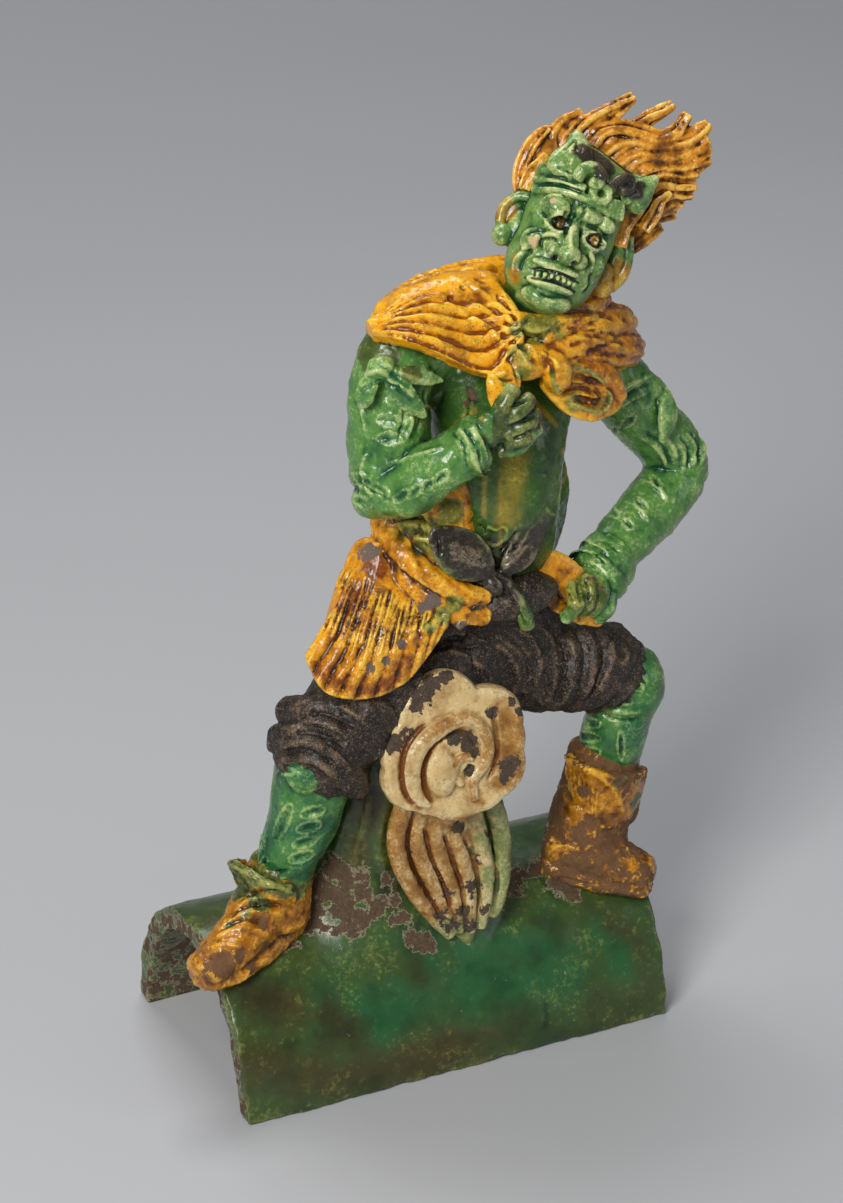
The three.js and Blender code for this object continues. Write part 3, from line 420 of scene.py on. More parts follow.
    def finish(self, name, glaze, keep=0.5, crest=1.0):
        """Finds the crests, where glaze wears thin and a highlight is painted, and the hollows, where
        glaze pools and shade is painted; thins the mesh and puts the piece in its frame."""
        self.normals()
        fine, wide = 2, int(34 / self.grain ** 1.5) + 6
        smooth = self.v.copy()
        worn_and_highlight, pooled_and_shade = np.zeros(len(self.v)), np.zeros(len(self.v))
        for turn in range(1, wide + 1):
            smooth = smooth + 0.6 * (self.around(smooth) - smooth)
            if turn in (fine, wide // 4, wide):
                high = ((self.v - smooth) * self.n).sum(1)
                depth = 0.09 * self.grain * turn ** 0.75 + 0.12
                share = 1.0 if turn == fine else 0.7
                worn_and_highlight = np.maximum(worn_and_highlight, share * np.clip(high / depth, 0, 1))
                pooled_and_shade = np.maximum(pooled_and_shade, np.clip(-high / depth, 0, 1) * (0.6 if turn == fine else 1.0))
        # Crests get a painted highlight and hollows, broad ones most, painted shade, as well as glaze that
        # thins and pools.
        self.marks["worn_and_highlight"] = crest * np.clip(self.around(worn_and_highlight), 0, 1)
        self.marks["pooled_and_shade"] = np.clip(self.around(pooled_and_shade), 0, 1)
        mesh = bpy.data.meshes.new(name)
        mesh.vertices.add(len(self.v))
        mesh.vertices.foreach_set("co", ((self.v + CROWN) * MM).ravel())
        mesh.loops.add(self.f.size)
        mesh.loops.foreach_set("vertex_index", self.f.ravel())
        mesh.polygons.add(len(self.f))
        mesh.polygons.foreach_set("loop_start", np.arange(0, self.f.size, 4, dtype=np.int32))
        mesh.update(calc_edges=True)
        for mark in ("worn_and_highlight", "pooled_and_shade", "second", "third", "bare"):
            layer = mesh.attributes.new(mark, "FLOAT", "POINT")
            layer.data.foreach_set("value", self.mark(mark).astype(np.float32))
        piece = bpy.data.objects.new(name, mesh)
        bpy.context.scene.collection.objects.link(piece)
        thin = piece.modifiers.new("thin", "DECIMATE")
        thin.ratio = keep
        depsgraph = bpy.context.evaluated_depsgraph_get()
        thinned = bpy.data.meshes.new_from_object(
            piece.evaluated_get(depsgraph), preserve_all_data_layers=True, depsgraph=depsgraph)
        piece.modifiers.remove(thin)
        piece.data = thinned
        bpy.data.meshes.remove(mesh)
        thinned.name = name
        thinned.shade_smooth()
        thinned.materials.append(glaze)
        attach(piece, "root")
        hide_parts(NODE)
        return piece


def node(tree, kind, **settings):
    n = tree.nodes.new(kind)
    for key, value in settings.items():
        if key in n.inputs:
            n.inputs[key].default_value = value
        else:
            setattr(n, key, value)
    return n


def calc(tree, kind, *values):
    """A math node over numbers and sockets."""
    m = node(tree, "ShaderNodeMath", operation=kind)
    for socket, value in zip(m.inputs, values):
        if isinstance(value, (int, float)):
            socket.default_value = value
        else:
            tree.links.new(value, socket)
    return m.outputs[0]


def ramp(tree, value, low, high):
    """A soft step from 0 at low to 1 at high."""
    r = node(tree, "ShaderNodeMapRange", interpolation_type="SMOOTHSTEP")
    tree.links.new(value, r.inputs["Value"])
    r.inputs["From Min"].default_value = low
    r.inputs["From Max"].default_value = high
    return r.outputs[0]


def mix(tree, factor, a, b):
    m = node(tree, "ShaderNodeMix", data_type="RGBA")
    for socket, value in ((m.inputs["Factor"], factor), (m.inputs[6], a), (m.inputs[7], b)):
        if isinstance(value, tuple):
            socket.default_value = (*value, 1)
        elif isinstance(value, (int, float)):
            socket.default_value = value
        else:
            tree.links.new(value, socket)
    return m.outputs[2]


def make_tones():
    """One glaze: its full tone, darker where it pools in hollows and as painted shade, thin and pale over
    crests and lit there as a painted highlight.
    """
    group = bpy.data.node_groups.new("glaze_tones", "ShaderNodeTree")
    face = group.interface
    for name in ("Thin_and_highlight", "Full", "Pooled_and_shade"):
        face.new_socket(name=name, in_out="INPUT", socket_type="NodeSocketColor")
    for name in ("Worn_and_highlight", "Sunken_and_shade", "Mottle", "Speckle"):
        face.new_socket(name=name, in_out="INPUT", socket_type="NodeSocketFloat")
    face.new_socket(name="Color", in_out="OUTPUT", socket_type="NodeSocketColor")
    into = group.nodes.new("NodeGroupInput").outputs
    out = group.nodes.new("NodeGroupOutput")
    sunk_and_shade = calc(group, "MULTIPLY_ADD", into["Mottle"], 0.62, into["Sunken_and_shade"])
    full = mix(group, ramp(group, sunk_and_shade, 0.20, 1.0), into["Full"], into["Pooled_and_shade"])
    thin = calc(group, "MULTIPLY_ADD", into["Speckle"], 0.5, into["Worn_and_highlight"])
    thin = calc(group, "MULTIPLY_ADD", into["Mottle"], -0.45, thin)
    both = mix(group, ramp(group, thin, 0.12, 0.85), full, into["Thin_and_highlight"])
    group.links.new(both, out.inputs["Color"])
    return group


TONES = make_tones()
BURNT_PIT, DUST_TAN, PALE_RIM = (0.035, 0.018, 0.007), (0.46, 0.30, 0.17), (0.46, 0.38, 0.25)
GLAZE_BEND, GLAZE_SHEEN = 1.6, 0.4
RELIEF_STRENGTH, RELIEF_DEPTH = 0.45, 0.0012


def paint(name, first, second=None, third=None, clay=((0.30, 0.17, 0.09), (0.10, 0.055, 0.03)), mottle=45,
          specks=0.25, shine=0.16, grit=0.0, edge=(0.32, 0.68), veins=0.0, rim=0.0, dapple=0.25, dust=0.0):
    """Lead glaze over clay. first, second and third are (thin, full, hollow) colours, chosen
    by the marks on the clay; the thin colour is also a painted highlight on crests and the hollow
    colour painted shade as well as glaze that pools. Bare clay shows where a mark or a crest that
    wears says so; specks are burnt pits, veins dark crawling lines and rim the pale line round a loss."""
    material = bpy.data.materials.new(name)
    material.use_nodes = True
    tree = material.node_tree
    shader = tree.nodes["Principled BSDF"]
    place = node(tree, "ShaderNodeTexCoord").outputs["Object"]

    def noise(scale, detail=4.0, rough=0.55, shift=0.0):
        n = node(tree, "ShaderNodeTexNoise", Scale=scale, Detail=detail, Roughness=rough)
        offset = node(tree, "ShaderNodeVectorMath", operation="ADD")
        offset.inputs[1].default_value = (shift, shift * 0.7, -shift)
        tree.links.new(place, offset.inputs[0])
        tree.links.new(offset.outputs[0], n.inputs["Vector"])
        return n.outputs["Fac"]

    def attribute(key):
        return node(tree, "ShaderNodeAttribute", attribute_name=key).outputs["Fac"]

    patches = ramp(tree, noise(mottle, 5.0, 0.6), 0.34, 0.68)
    speckle = ramp(tree, noise(mottle * 7, 6.0, 0.72, 1.7), 0.36, 0.72)
    flecks = calc(tree, "MULTIPLY", ramp(tree, noise(mottle * 11, 5.0, 0.7, 5.9), 0.42, 0.72),
                  ramp(tree, noise(mottle * 0.8, 4.0, 0.6, 2.3), 0.40, 0.62))
    # The crest mark lightens as painted highlight and the hollow mark darkens as painted shade, besides glaze
    # that wears thin and pools.
    worn_and_highlight, sunken = calc(tree, "MULTIPLY_ADD", flecks, dapple, attribute("worn_and_highlight")), attribute("pooled_and_shade")

    def tones(colours):
        g = node(tree, "ShaderNodeGroup", node_tree=TONES)
        for key, colour in zip(("Thin_and_highlight", "Full", "Pooled_and_shade"), colours):
            g.inputs[key].default_value = (*colour, 1)
        for key, value in (("Worn_and_highlight", worn_and_highlight), ("Sunken_and_shade", sunken), ("Mottle", patches), ("Speckle", speckle)):
            tree.links.new(value, g.inputs[key])
        return g.outputs["Color"]

    colour = tones(first)
    drift = calc(tree, "MULTIPLY_ADD", noise(mottle * 2.7, 5.0, 0.62, 4.1), 0.8, -0.4)
    for key, colours in (("second", second), ("third", third)):
        if colours:
            share = calc(tree, "ADD", attribute(key), drift)
            colour = mix(tree, ramp(tree, share, *edge), colour, tones(colours))
    pit = calc(tree, "MULTIPLY", ramp(tree, noise(mottle * 13, 2.0, 0.5, 7.7), 0.61, 0.68),
               ramp(tree, noise(mottle * 1.7, 2.0, 0.5, 9.3), 0.42, 0.58))
    burnt = calc(tree, "MULTIPLY", pit, specks)
    if veins:
        off = calc(tree, "ABSOLUTE", calc(tree, "SUBTRACT", noise(mottle * 2.4, 6.0, 0.6, 3.7), 0.5))
        line = calc(tree, "SUBTRACT", 1.0, ramp(tree, off, 0.004, 0.016))
        gate = ramp(tree, noise(mottle * 1.3, 2.0, 0.5, 6.3), 0.46, 0.60)
        crawl = calc(tree, "MULTIPLY", calc(tree, "MULTIPLY", line, gate), veins)
        burnt = calc(tree, "MAXIMUM", burnt, crawl)
    colour = mix(tree, burnt, colour, BURNT_PIT)
    if dust:
        points = ramp(tree, noise(mottle * 13, 3.0, 0.6, 4.6), 0.56, 0.61)
        lying = calc(tree, "MULTIPLY_ADD", worn_and_highlight, 0.75, 0.25)
        film = calc(tree, "MULTIPLY", calc(tree, "MULTIPLY", points, lying), dust)
        colour = mix(tree, film, colour, DUST_TAN)
    jitter = calc(tree, "MULTIPLY_ADD", noise(mottle * 3.2, 8.0, 0.68, 2.9), 2.2, -1.1)
    ragged = calc(tree, "ADD", attribute("bare"), jitter)
    gone = calc(tree, "MULTIPLY", ramp(tree, worn_and_highlight, 0.6, 0.95),
                ramp(tree, noise(mottle * 2.2, 5.0, 0.6, 5.5), 0.50, 0.58))
    naked = calc(tree, "MAXIMUM", ramp(tree, ragged, 0.47, 0.53), calc(tree, "MULTIPLY", gone, grit))
    if rim:
        ring = calc(tree, "MULTIPLY", ramp(tree, ragged, 0.41, 0.47), rim)
        colour = mix(tree, ring, colour, PALE_RIM)
    grain = ramp(tree, noise(mottle * 14, 6.0, 0.75, 3.3), 0.34, 0.68)
    tint = mix(tree, noise(mottle * 1.5, 3.0, 0.6, 8.1), clay[1], clay[0])
    colour = mix(tree, naked, colour, mix(tree, grain, clay[1], tint))
    tree.links.new(colour, shader.inputs["Base Color"])
    rough = calc(tree, "MULTIPLY_ADD", noise(mottle * 4, 5.0, 0.6, 6.1), 0.26, shine - 0.08)
    rough = calc(tree, "MULTIPLY_ADD", burnt, 0.3, rough)
    rough = calc(tree, "MULTIPLY_ADD", naked, 0.6, rough)
    tree.links.new(rough, shader.inputs["Roughness"])
    shader.inputs["IOR"].default_value = GLAZE_BEND
    shader.inputs["Specular IOR Level"].default_value = GLAZE_SHEEN
    height = calc(tree, "MULTIPLY", noise(mottle * 1.5, 3.0, 0.5, 1.1), 0.9)
    height = calc(tree, "MULTIPLY_ADD", noise(mottle * 6, 6.0, 0.6, 8.8), 0.34, height)
    height = calc(tree, "MULTIPLY_ADD", burnt, -0.45, height)
    height = calc(tree, "MULTIPLY_ADD", naked, -0.35, height)
    height = calc(tree, "MULTIPLY_ADD", calc(tree, "MULTIPLY", grain, naked), 0.5, height)
    bump = node(tree, "ShaderNodeBump", Strength=RELIEF_STRENGTH, Distance=RELIEF_DEPTH)
    tree.links.new(height, bump.inputs["Height"])
    tree.links.new(bump.outputs[0], shader.inputs["Normal"])
    return material


def tile_height(y):
    """Height of the tile's outer face, below zero away from the crown."""
    return TILE_RISE * (np.sqrt(np.maximum(0, 1 - (2 * y / TILE_WIDTH) ** 2)) - 1)


def trough():
    """The tile as bent from a slab: an arch of even wall."""
    angle = np.linspace(0, np.pi, 71)
    outer = np.stack([-TILE_WIDTH / 2 * np.cos(angle), TILE_RISE * np.sin(angle)], 1)
    inner = np.stack([-(TILE_WIDTH / 2 - TILE_WALL) * np.cos(angle),
                      (TILE_RISE - TILE_WALL) * np.sin(angle)], 1)
    loop = np.vstack([outer, inner[::-1]])
    n = len(loop)
    ends = (-TILE_LENGTH / 2, TILE_LENGTH / 2)
    points = np.array([[x, y, z - TILE_RISE] for x in ends for y, z in loop])
    faces = [(k, (k + 1) % n, n + (k + 1) % n, n + k) for k in range(n)]
    for base in (0, n):
        faces += [(base + k, base + k + 1, base + n - 2 - k, base + n - 1 - k) for k in range(70)]
    return points, faces


# The mound by height: height, middle x and y, share of the tile's curve it follows, half sizes.
MOUND = [(0, -20, 2, 1, 108, 96), (8, -20, 2, 0.9, 90, 84), (24, -20, 0, 0.45, 80, 66),
         (52, -20, -2, 0, 73, 54), (96, -14, -6, 0, 63, 46), (136, -8, -10, 0, 55, 40),
         (178, 4, -6, 0, 42, 36)]
MOUND_SINK = 8.0
MOUND_BOTTOM, MOUND_TOP = np.array([-20.0, 0.0, -14.0]), np.array([4.0, -6.0, 190.0])
lift, x, y, hug, wide, deep = (c[:, None] for c in curve(MOUND, 50).T)
turn = 2 * np.pi * np.arange(60) / 60
mound_y = y + deep * np.sin(turn)
mound_z = lift + np.clip(hug, 0, 1) * tile_height(mound_y)
mound_z[0] -= MOUND_SINK
mound = skin(np.stack([x + wide * np.cos(turn), mound_y, mound_z], -1), MOUND_BOTTOM, MOUND_TOP)
tile = Clay([trough(), mound], 2.0, soften=6)
tile.v += tile.n * (0.8 * waves(tile.v, 90, 1) + 0.3 * waves(tile.v, 24, 2))[:, None]
# The ends and the feet of the tile are worn round, with small losses.
end_left = np.abs(tile.v[:, 0] + TILE_LENGTH / 2)
end_right = np.abs(tile.v[:, 0] - TILE_LENGTH / 2)
foot = tile.v[:, 2] + TILE_RISE
rim_gap = np.minimum(np.minimum(end_left, end_right), foot)
wear = np.exp(-rim_gap / 5) * np.maximum(0, 0.35 + waves(tile.v, 30, 5, 2)) * 1.5
tile.v -= tile.n * wear[:, None]
tile.v[:, 2] = np.maximum(tile.v[:, 2], -TILE_RISE)
on_mound = smoothstep(tile.v[:, 2] - tile_height(tile.v[:, 1]), 12, 30)
streaks = waves(tile.v * [1, 1, 0.16], 15, 6)
tile.v += tile.n * (on_mound * 0.9 * streaks)[:, None]
# Folds of the mound beside the stem, and the crack that runs down from it, as seen.
MOUND_FOLDS = [((372, 790), (362, 830), (350, 870)), ((388, 800), (380, 840), (384, 880)),
               ((352, 800), (340, 840), (322, 880)), ((345, 790), (330, 822), (318, 858))]
tile.draw(MOUND_FOLDS, 4.0, 2.2)
CRACK = [((536, 872), (545, 884), (552, 893), (566, 903), (580, 909)),
         ((547, 1000), (545, 1030), (549, 1052))]
tile.draw(CRACK, 1.8, -1.1)
EMERALD_RUNS = [(((470, 950), (520, 965), (560, 960)), 30, 0.8),
                (((330, 1010), (380, 1020), (430, 1000)), 24, 0.6), (((600, 930), (625, 960)), 20, 0.45),
                (((440, 960), (470, 990)), 22, 0.7), (((365, 800), (352, 850)), 16, 0.5),
                (((312, 870), (296, 892)), 12, 0.8)]
tile.stains("second", EMERALD_RUNS)
tile.mark("second")[:] = np.clip(tile.mark("second") + 0.16 + 0.28 * waves(tile.v, 120, 11), 0, 1)
BROWN_RUNS = [(((376, 792), (362, 830), (350, 880)), 16, 0.85),
              (((392, 812), (388, 850), (396, 900)), 12, 0.7),
              (((260, 1000), (310, 1012), (350, 1040)), 22, 0.6),
              (((250, 1060), (350, 1075), (480, 1040)), 20, 0.6), (((380, 960), (420, 975)), 12, 0.4),
              (((600, 905), (640, 950), (655, 1000)), 14, 0.45)]
tile.stains("third", BROWN_RUNS)
low_brown = 0.2 * smoothstep(-tile.v[:, 2], 60, 118)
tile.mark("third")[:] = np.clip(tile.mark("third") + low_brown + 0.25 * waves(tile.v, 70, 17), 0, 1)
# Losses: round the foot of the mound, and thin chips along every edge.
LOSSES = [(425, 940, 12, 0.62), (500, 905, 9, 0.6), (512, 890, 10, 0.62), (352, 880, 14, 0.7),
          (310, 912, 15, 0.66), (356, 918, 14, 0.66), (376, 905, 12, 0.64), (286, 940, 12, 0.6),
          (335, 868, 12, 0.66), (322, 892, 15, 0.66), (345, 905, 17, 0.68), (362, 890, 11, 0.66),
          (318, 918, 12, 0.6), (300, 925, 12, 0.5), (345, 930, 13, 0.56), (386, 880, 8, 0.66),
          (390, 900, 9, 0.66), (398, 918, 9, 0.66), (410, 935, 9, 0.6), (520, 876, 10, 0.68),
          (537, 866, 11, 0.68), (556, 880, 12, 0.68), (572, 893, 9, 0.62)]
tile.blots("bare", LOSSES)
chips = np.exp(-rim_gap / 2.2) * (0.35 + 0.4 * waves(tile.v, 30, 23))
inside = (tile.v[:, 1] / (TILE_WIDTH / 2 - 6)) ** 2 + ((tile.v[:, 2] + TILE_RISE) / (TILE_RISE - 6)) ** 2 < 1
tile.mark("bare")[:] = np.clip(np.maximum(tile.mark("bare"), np.maximum(chips, 0.5 * inside)), 0, 1)
TILE_GREEN = ((0.22, 0.26, 0.06), (0.052, 0.090, 0.018), (0.014, 0.030, 0.007))
TILE_EMERALD = ((0.14, 0.26, 0.07), (0.022, 0.125, 0.038), (0.007, 0.050, 0.016))
TILE_BROWN = ((0.20, 0.17, 0.04), (0.058, 0.050, 0.010), (0.014, 0.013, 0.004))
tile_glaze = paint("tile_glaze", TILE_GREEN, TILE_EMERALD, TILE_BROWN,
                   clay=((0.20, 0.13, 0.072), (0.078, 0.048, 0.026)), mottle=24, specks=0.3, shine=0.27,
                   edge=(-0.05, 0.95), rim=0.7, dapple=0.55)
tile.finish("tile_and_mound", tile_glaze, keep=0.36, crest=0.45)

# Cloud: a thick lobed disc of cream glaze with a raised scroll outlined in amber, on a stem of
# falling folds. Modelled apart and luted to the front of the mound; its rim has flaked to dark clay.
CLOUD_OUT = unit([-0.2, -0.95, 0.24])
CLOUD_RIGHT = unit(np.cross(UP, CLOUD_OUT))
CLOUD_UP = unit(np.cross(CLOUD_OUT, CLOUD_RIGHT))
CLOUD_MIDDLE = np.array([3.0, -76.0, 151.0])
CLOUD_LOBES = ((-2, 32, 29), (-14, 26, 25), (32, 16, 29), (34, 0, 28), (31, -18, 30), (18, -26, 31),
               (2, -30, 31), (-13, -27, 28), (-28, -22, 27), (-30, -6, 24), (-26, 12, 20))
CLOUD_LIP = ((0.84, -11), (0.97, -8.5), (1.0, -3), (1.0, 3), (0.975, 8), (0.9, 10), (0.78, 9.0), (0.5, 8.6))


def cloud_at(s, t, n):
    flat = np.multiply.outer(s, CLOUD_RIGHT) + np.multiply.outer(t, CLOUD_UP)
    return CLOUD_MIDDLE + flat + np.multiply.outer(n, CLOUD_OUT)


CLOUD_SIDES = 160
angle = 2 * np.pi * np.arange(CLOUD_SIDES) / CLOUD_SIDES
reach = np.zeros(CLOUD_SIDES)
for s, t, r in CLOUD_LOBES:
    along, off = s * np.cos(angle) + t * np.sin(angle), s * np.sin(angle) - t * np.cos(angle)
    hit = np.abs(off) < r
    reach[hit] = np.maximum(reach[hit], along[hit] + np.sqrt(r * r - off[hit] ** 2))
lip = [cloud_at(reach * share * np.cos(angle), reach * share * np.sin(angle), np.full(CLOUD_SIDES, float(n)))
       for share, n in CLOUD_LIP]
disc = skin(np.array(lip), cloud_at(0, 0, CLOUD_LIP[0][1]), cloud_at(0, 0, CLOUD_LIP[-1][1]))
STEM_LEFT = [[-30, -50, 106], [-32, -50, 66], [-22, -52, 26], [0, -60, -12], [14, -56, -36]]
STEM_RIGHT = [[48, -50, 98], [52, -50, 46], [48, -52, 10], [40, -58, -18], [28, -56, -36]]


def between(first, last, outward, bulge=0.0, relief=None):
    """A surface between two edges, u from the first edge to the last and v along them."""
    a, b = curve(first, 241), curve(last, 241)

    def surface(u, v):
        k = np.clip((v * 240).round().astype(int), 0, 240)
        p = a[k] * (1 - u[..., None]) + b[k] * u[..., None]
        swell = bulge * np.sin(np.pi * u) + (relief(u, v) if relief else 0)
        return p + swell[..., None] * unit(outward)
    return surface


stem = sheet(between(STEM_LEFT, STEM_RIGHT, FRONT, 9.0), 28, across=60, down=60, out=FRONT)


def on_plane(pixels, spot, facing):
    """Where the view through places of the photograph meets a plane."""
    rays = [ray_through(x, y) for x, y in pixels]
    return [EYE - CROWN + ray * (((spot - EYE + CROWN) @ facing) / (ray @ facing)) for ray in rays]


def coil(pixels, radii, spot, facing):
    """A roll of clay laid on a plane as it shows in the photograph."""
    return roll([[*p, r] for p, r in zip(on_plane(pixels, spot, facing), radii)], front=facing, sides=28,
                step=1.2)


# The scroll and the folds of the stem as they show in the photograph, each a roll luted on.
SCROLL = [(428, 806), (416, 796), (411, 778), (413, 758), (424, 740), (440, 728), (458, 720), (474, 722),
          (484, 734), (487, 752), (480, 768), (472, 780), (474, 798)]
INNER = [(472, 757), (462, 757), (454, 765), (454, 776), (462, 784)]
STEM_ROLLS = [[(404, 806), (396, 838), (400, 864), (414, 892), (434, 918), (450, 934)],
              [(421, 806), (415, 834), (420, 856), (433, 884), (444, 908), (454, 930)],
              [(437, 806), (435, 836), (442, 862), (451, 888), (456, 912), (460, 930)],
              [(453, 806), (455, 838), (463, 864), (469, 890), (470, 930)],
              [(471, 806), (480, 840), (486, 866), (487, 892), (480, 926)],
              [(493, 804), (501, 832), (503, 866), (499, 896), (492, 914)]]
SCROLL_SEAT = CLOUD_MIDDLE + CLOUD_OUT * 8
STEM_SEAT = np.array([12.0, -68.5, 60.0])
STEM_FACING = unit((-0.06, -1.0, 0.13))
SCROLL_RADII = [4, 6.5, 7.5, 8, 8, 7.5, 6.5, 6, 6, 6, 5.5, 5, 4]
INNER_RADII = [3.5, 4, 4.5, 4, 3.5]
STEM_THICK, STEM_THIN = 8.4, 5.0
BOSS, BOSS_RADII = (441, 772), (13, 20, 9)
coils = [coil(SCROLL, SCROLL_RADII, SCROLL_SEAT, CLOUD_OUT), coil(INNER, INNER_RADII, SCROLL_SEAT, CLOUD_OUT)]
coils += [coil(line, np.linspace(STEM_THICK, STEM_THIN, len(line)), STEM_SEAT, STEM_FACING)
          for line in STEM_ROLLS]
boss = lump(on_plane([BOSS], SCROLL_SEAT, CLOUD_OUT)[0], BOSS_RADII, [CLOUD_RIGHT, CLOUD_UP, CLOUD_OUT])
cloud = Clay([disc, stem, boss] + coils, 0.9, soften=3)
cloud.v += cloud.n * (0.35 * waves(cloud.v, 16, 31) + 0.2 * waves(cloud.v, 7, 32))[:, None]
SCROLL_DIPS = [((430, 800), (424, 784), (424, 764), (433, 746), (450, 734), (466, 733), (474, 742),
                (474, 756)), ((466, 768), (470, 772), (472, 764)),
               ((418, 808), (404, 790), (402, 765), (408, 744), (422, 726)),
               ((498, 704), (494, 716), (497, 738), (496, 762), (486, 784))]
cloud.draw(SCROLL_DIPS, 2.0, -3.4)
STEM_DIPS = [((412, 815), (407, 840), (411, 864), (424, 890), (440, 918)),
             ((429, 812), (426, 835), (432, 862), (443, 884), (451, 912)),
             ((445, 810), (446, 840), (454, 866), (462, 886), (464, 914)),
             ((461, 810), (467, 845), (476, 872), (479, 915)),
             ((481, 812), (491, 845), (497, 875), (494, 912))]
cloud.draw(STEM_DIPS, 1.6, -2.6)
SCROLL_AMBER = [(SCROLL_DIPS[0], 3.4, 1.0), (SCROLL_DIPS[2], 4.0, 0.9),
                (((426, 738), (446, 724), (466, 718), (482, 726)), 6, 1.0),
                (((484, 730), (489, 748), (482, 766)), 5, 1.0),
                (((471, 755), (461, 757), (455, 765)), 3.2, 1.0),
                (((472, 782), (474, 800), (482, 802)), 3.5, 1.0),
                (((412, 790), (411, 765), (420, 745)), 5, 0.5),
                (((512, 718), (515, 745), (506, 775)), 19, 0.95),
                (((402, 765), (404, 790), (416, 806)), 5, 0.8),
                (((425, 704), (455, 690), (480, 694)), 7, 0.35)]
cloud.stains("second", SCROLL_AMBER)
on_stem = smoothstep(-cloud.v[:, 2], -106, -92) * (np.abs(cloud.v[:, 0] - 8) < 60)
side = (cloud.v[:, 0] + 26) / 84
gold = on_stem * np.clip(1.05 - 1.0 * side + 0.4 * waves(cloud.v, 26, 33), 0, 1)
cloud.mark("second")[:] = np.maximum(cloud.mark("second"), gold)
low_stem = smoothstep(-cloud.v[:, 2], -14, 24)
moss = np.maximum(2.4 * side - 1.2, low_stem) + 0.3 * waves(cloud.v, 30, 34)
cloud.mark("third")[:] = on_stem * np.clip(moss, 0, 1)
FLAKES = [(452, 928, 9, 0.62), (470, 926, 8, 0.6), (440, 916, 8, 0.62), (484, 908, 7, 0.55),
          (424, 694, 9, 0.8), (432, 684, 9, 0.85), (445, 675, 8, 0.85), (460, 669, 7, 0.85),
          (474, 669, 5, 0.7), (417, 706, 7, 0.75), (394, 744, 8, 0.9), (408, 734, 6, 0.7),
          (512, 702, 4, 0.9), (520, 712, 4, 0.9), (525, 726, 3.5, 0.9), (492, 712, 6, 0.8),
          (456, 738, 7, 0.8), (468, 742, 8, 0.85), (474, 752, 5, 0.8), (468, 770, 6, 0.9),
          (508, 768, 8, 0.8), (514, 762, 6, 0.8), (504, 780, 5, 0.75), (460, 828, 7, 0.75),
          (447, 890, 7, 0.55), (474, 890, 9, 0.62), (462, 912, 9, 0.6), (420, 880, 7, 0.5),
          (430, 900, 7, 0.55), (478, 860, 6, 0.5), (410, 850, 5, 0.45)]
cloud.blots("bare", FLAKES)
behind = smoothstep((cloud.v - CLOUD_MIDDLE) @ -CLOUD_OUT, 2, 9) * (1 - on_stem)
cloud.mark("bare")[:] = np.maximum(cloud.mark("bare"), 0.62 * behind)
CREAM = ((0.88, 0.74, 0.42), (0.74, 0.53, 0.24), (0.42, 0.24, 0.075))
SCROLL_GOLD = ((0.82, 0.62, 0.32), (0.44, 0.22, 0.045), (0.17, 0.050, 0.006))
STEM_MOSS = ((0.56, 0.54, 0.24), (0.24, 0.27, 0.085), (0.06, 0.09, 0.025))
cloud_glaze = paint("cloud_glaze", CREAM, SCROLL_GOLD, STEM_MOSS, veins=0.5,
                    clay=((0.24, 0.16, 0.10), (0.04, 0.028, 0.02)), mottle=55, specks=0.5, shine=0.24,
                    edge=(0.2, 0.8))
cloud.finish("cloud_and_stem", cloud_glaze, keep=0.36)

# Boots: soft leather shapes modelled over the feet, each with a flaring cuff luted on. The amber
# glaze has mostly gone from the right one, which shows its brown clay.
LEFT_ANKLE = [[-119, -28, 48, 26, 26], [-122, -28, 30, 26, 28], [-124, -30, 8, 26, 30]]
LEFT_FOOT = [[-112, -18, 14, 23, 22], [-134, -32, 20, 25, 25], [-158, -46, 10, 22, 20],
             [-182, -56, 0, 20, 15], [-201, -64, -5, 18, 12]]
LEFT_SOLE = [[-104, -16, -4, 20, 12], [-140, -36, -8, 23, 13], [-176, -54, -14, 21, 10],
             [-202, -64, -14, 17, 8]]
RIGHT_ANKLE = [[168, -28, 78, 30, 28], [162, -28, 48, 31, 28], [152, -32, 18, 34, 29], [150, -38, -4, 34, 28]]
RIGHT_FOOT = [[122, -30, 6, 19, 18], [146, -44, 2, 26, 24], [166, -58, -8, 23, 20], [184, -72, -14, 20, 14]]
RIGHT_SOLE = [[116, -30, -6, 18, 12], [146, -48, -14, 25, 13], [168, -60, -20, 23, 11],
              [186, -72, -24, 20, 9]]


def left_cuff(u, v):
    a = 1.55 + 2.75 * u
    r = 25 + 10 * v + 2 * np.sin(9 * u)
    high = (40 - 8 * u) * (0.55 + 0.45 * np.sin(np.pi * u))
    return np.stack([-121 + r * np.cos(a), -26 - r * np.sin(a), 22 + high * v], -1)


def right_cuff(u, v):
    a = -2.9 + 4.1 * u
    r = 27 + 8 * v + 2 * np.sin(11 * u)
    top = 92 - 52 * u + 14 * u * (1 - u)
    return np.stack([165 + r * np.cos(a), -27 + r * np.sin(a), 20 + (top - 20) * v], -1)


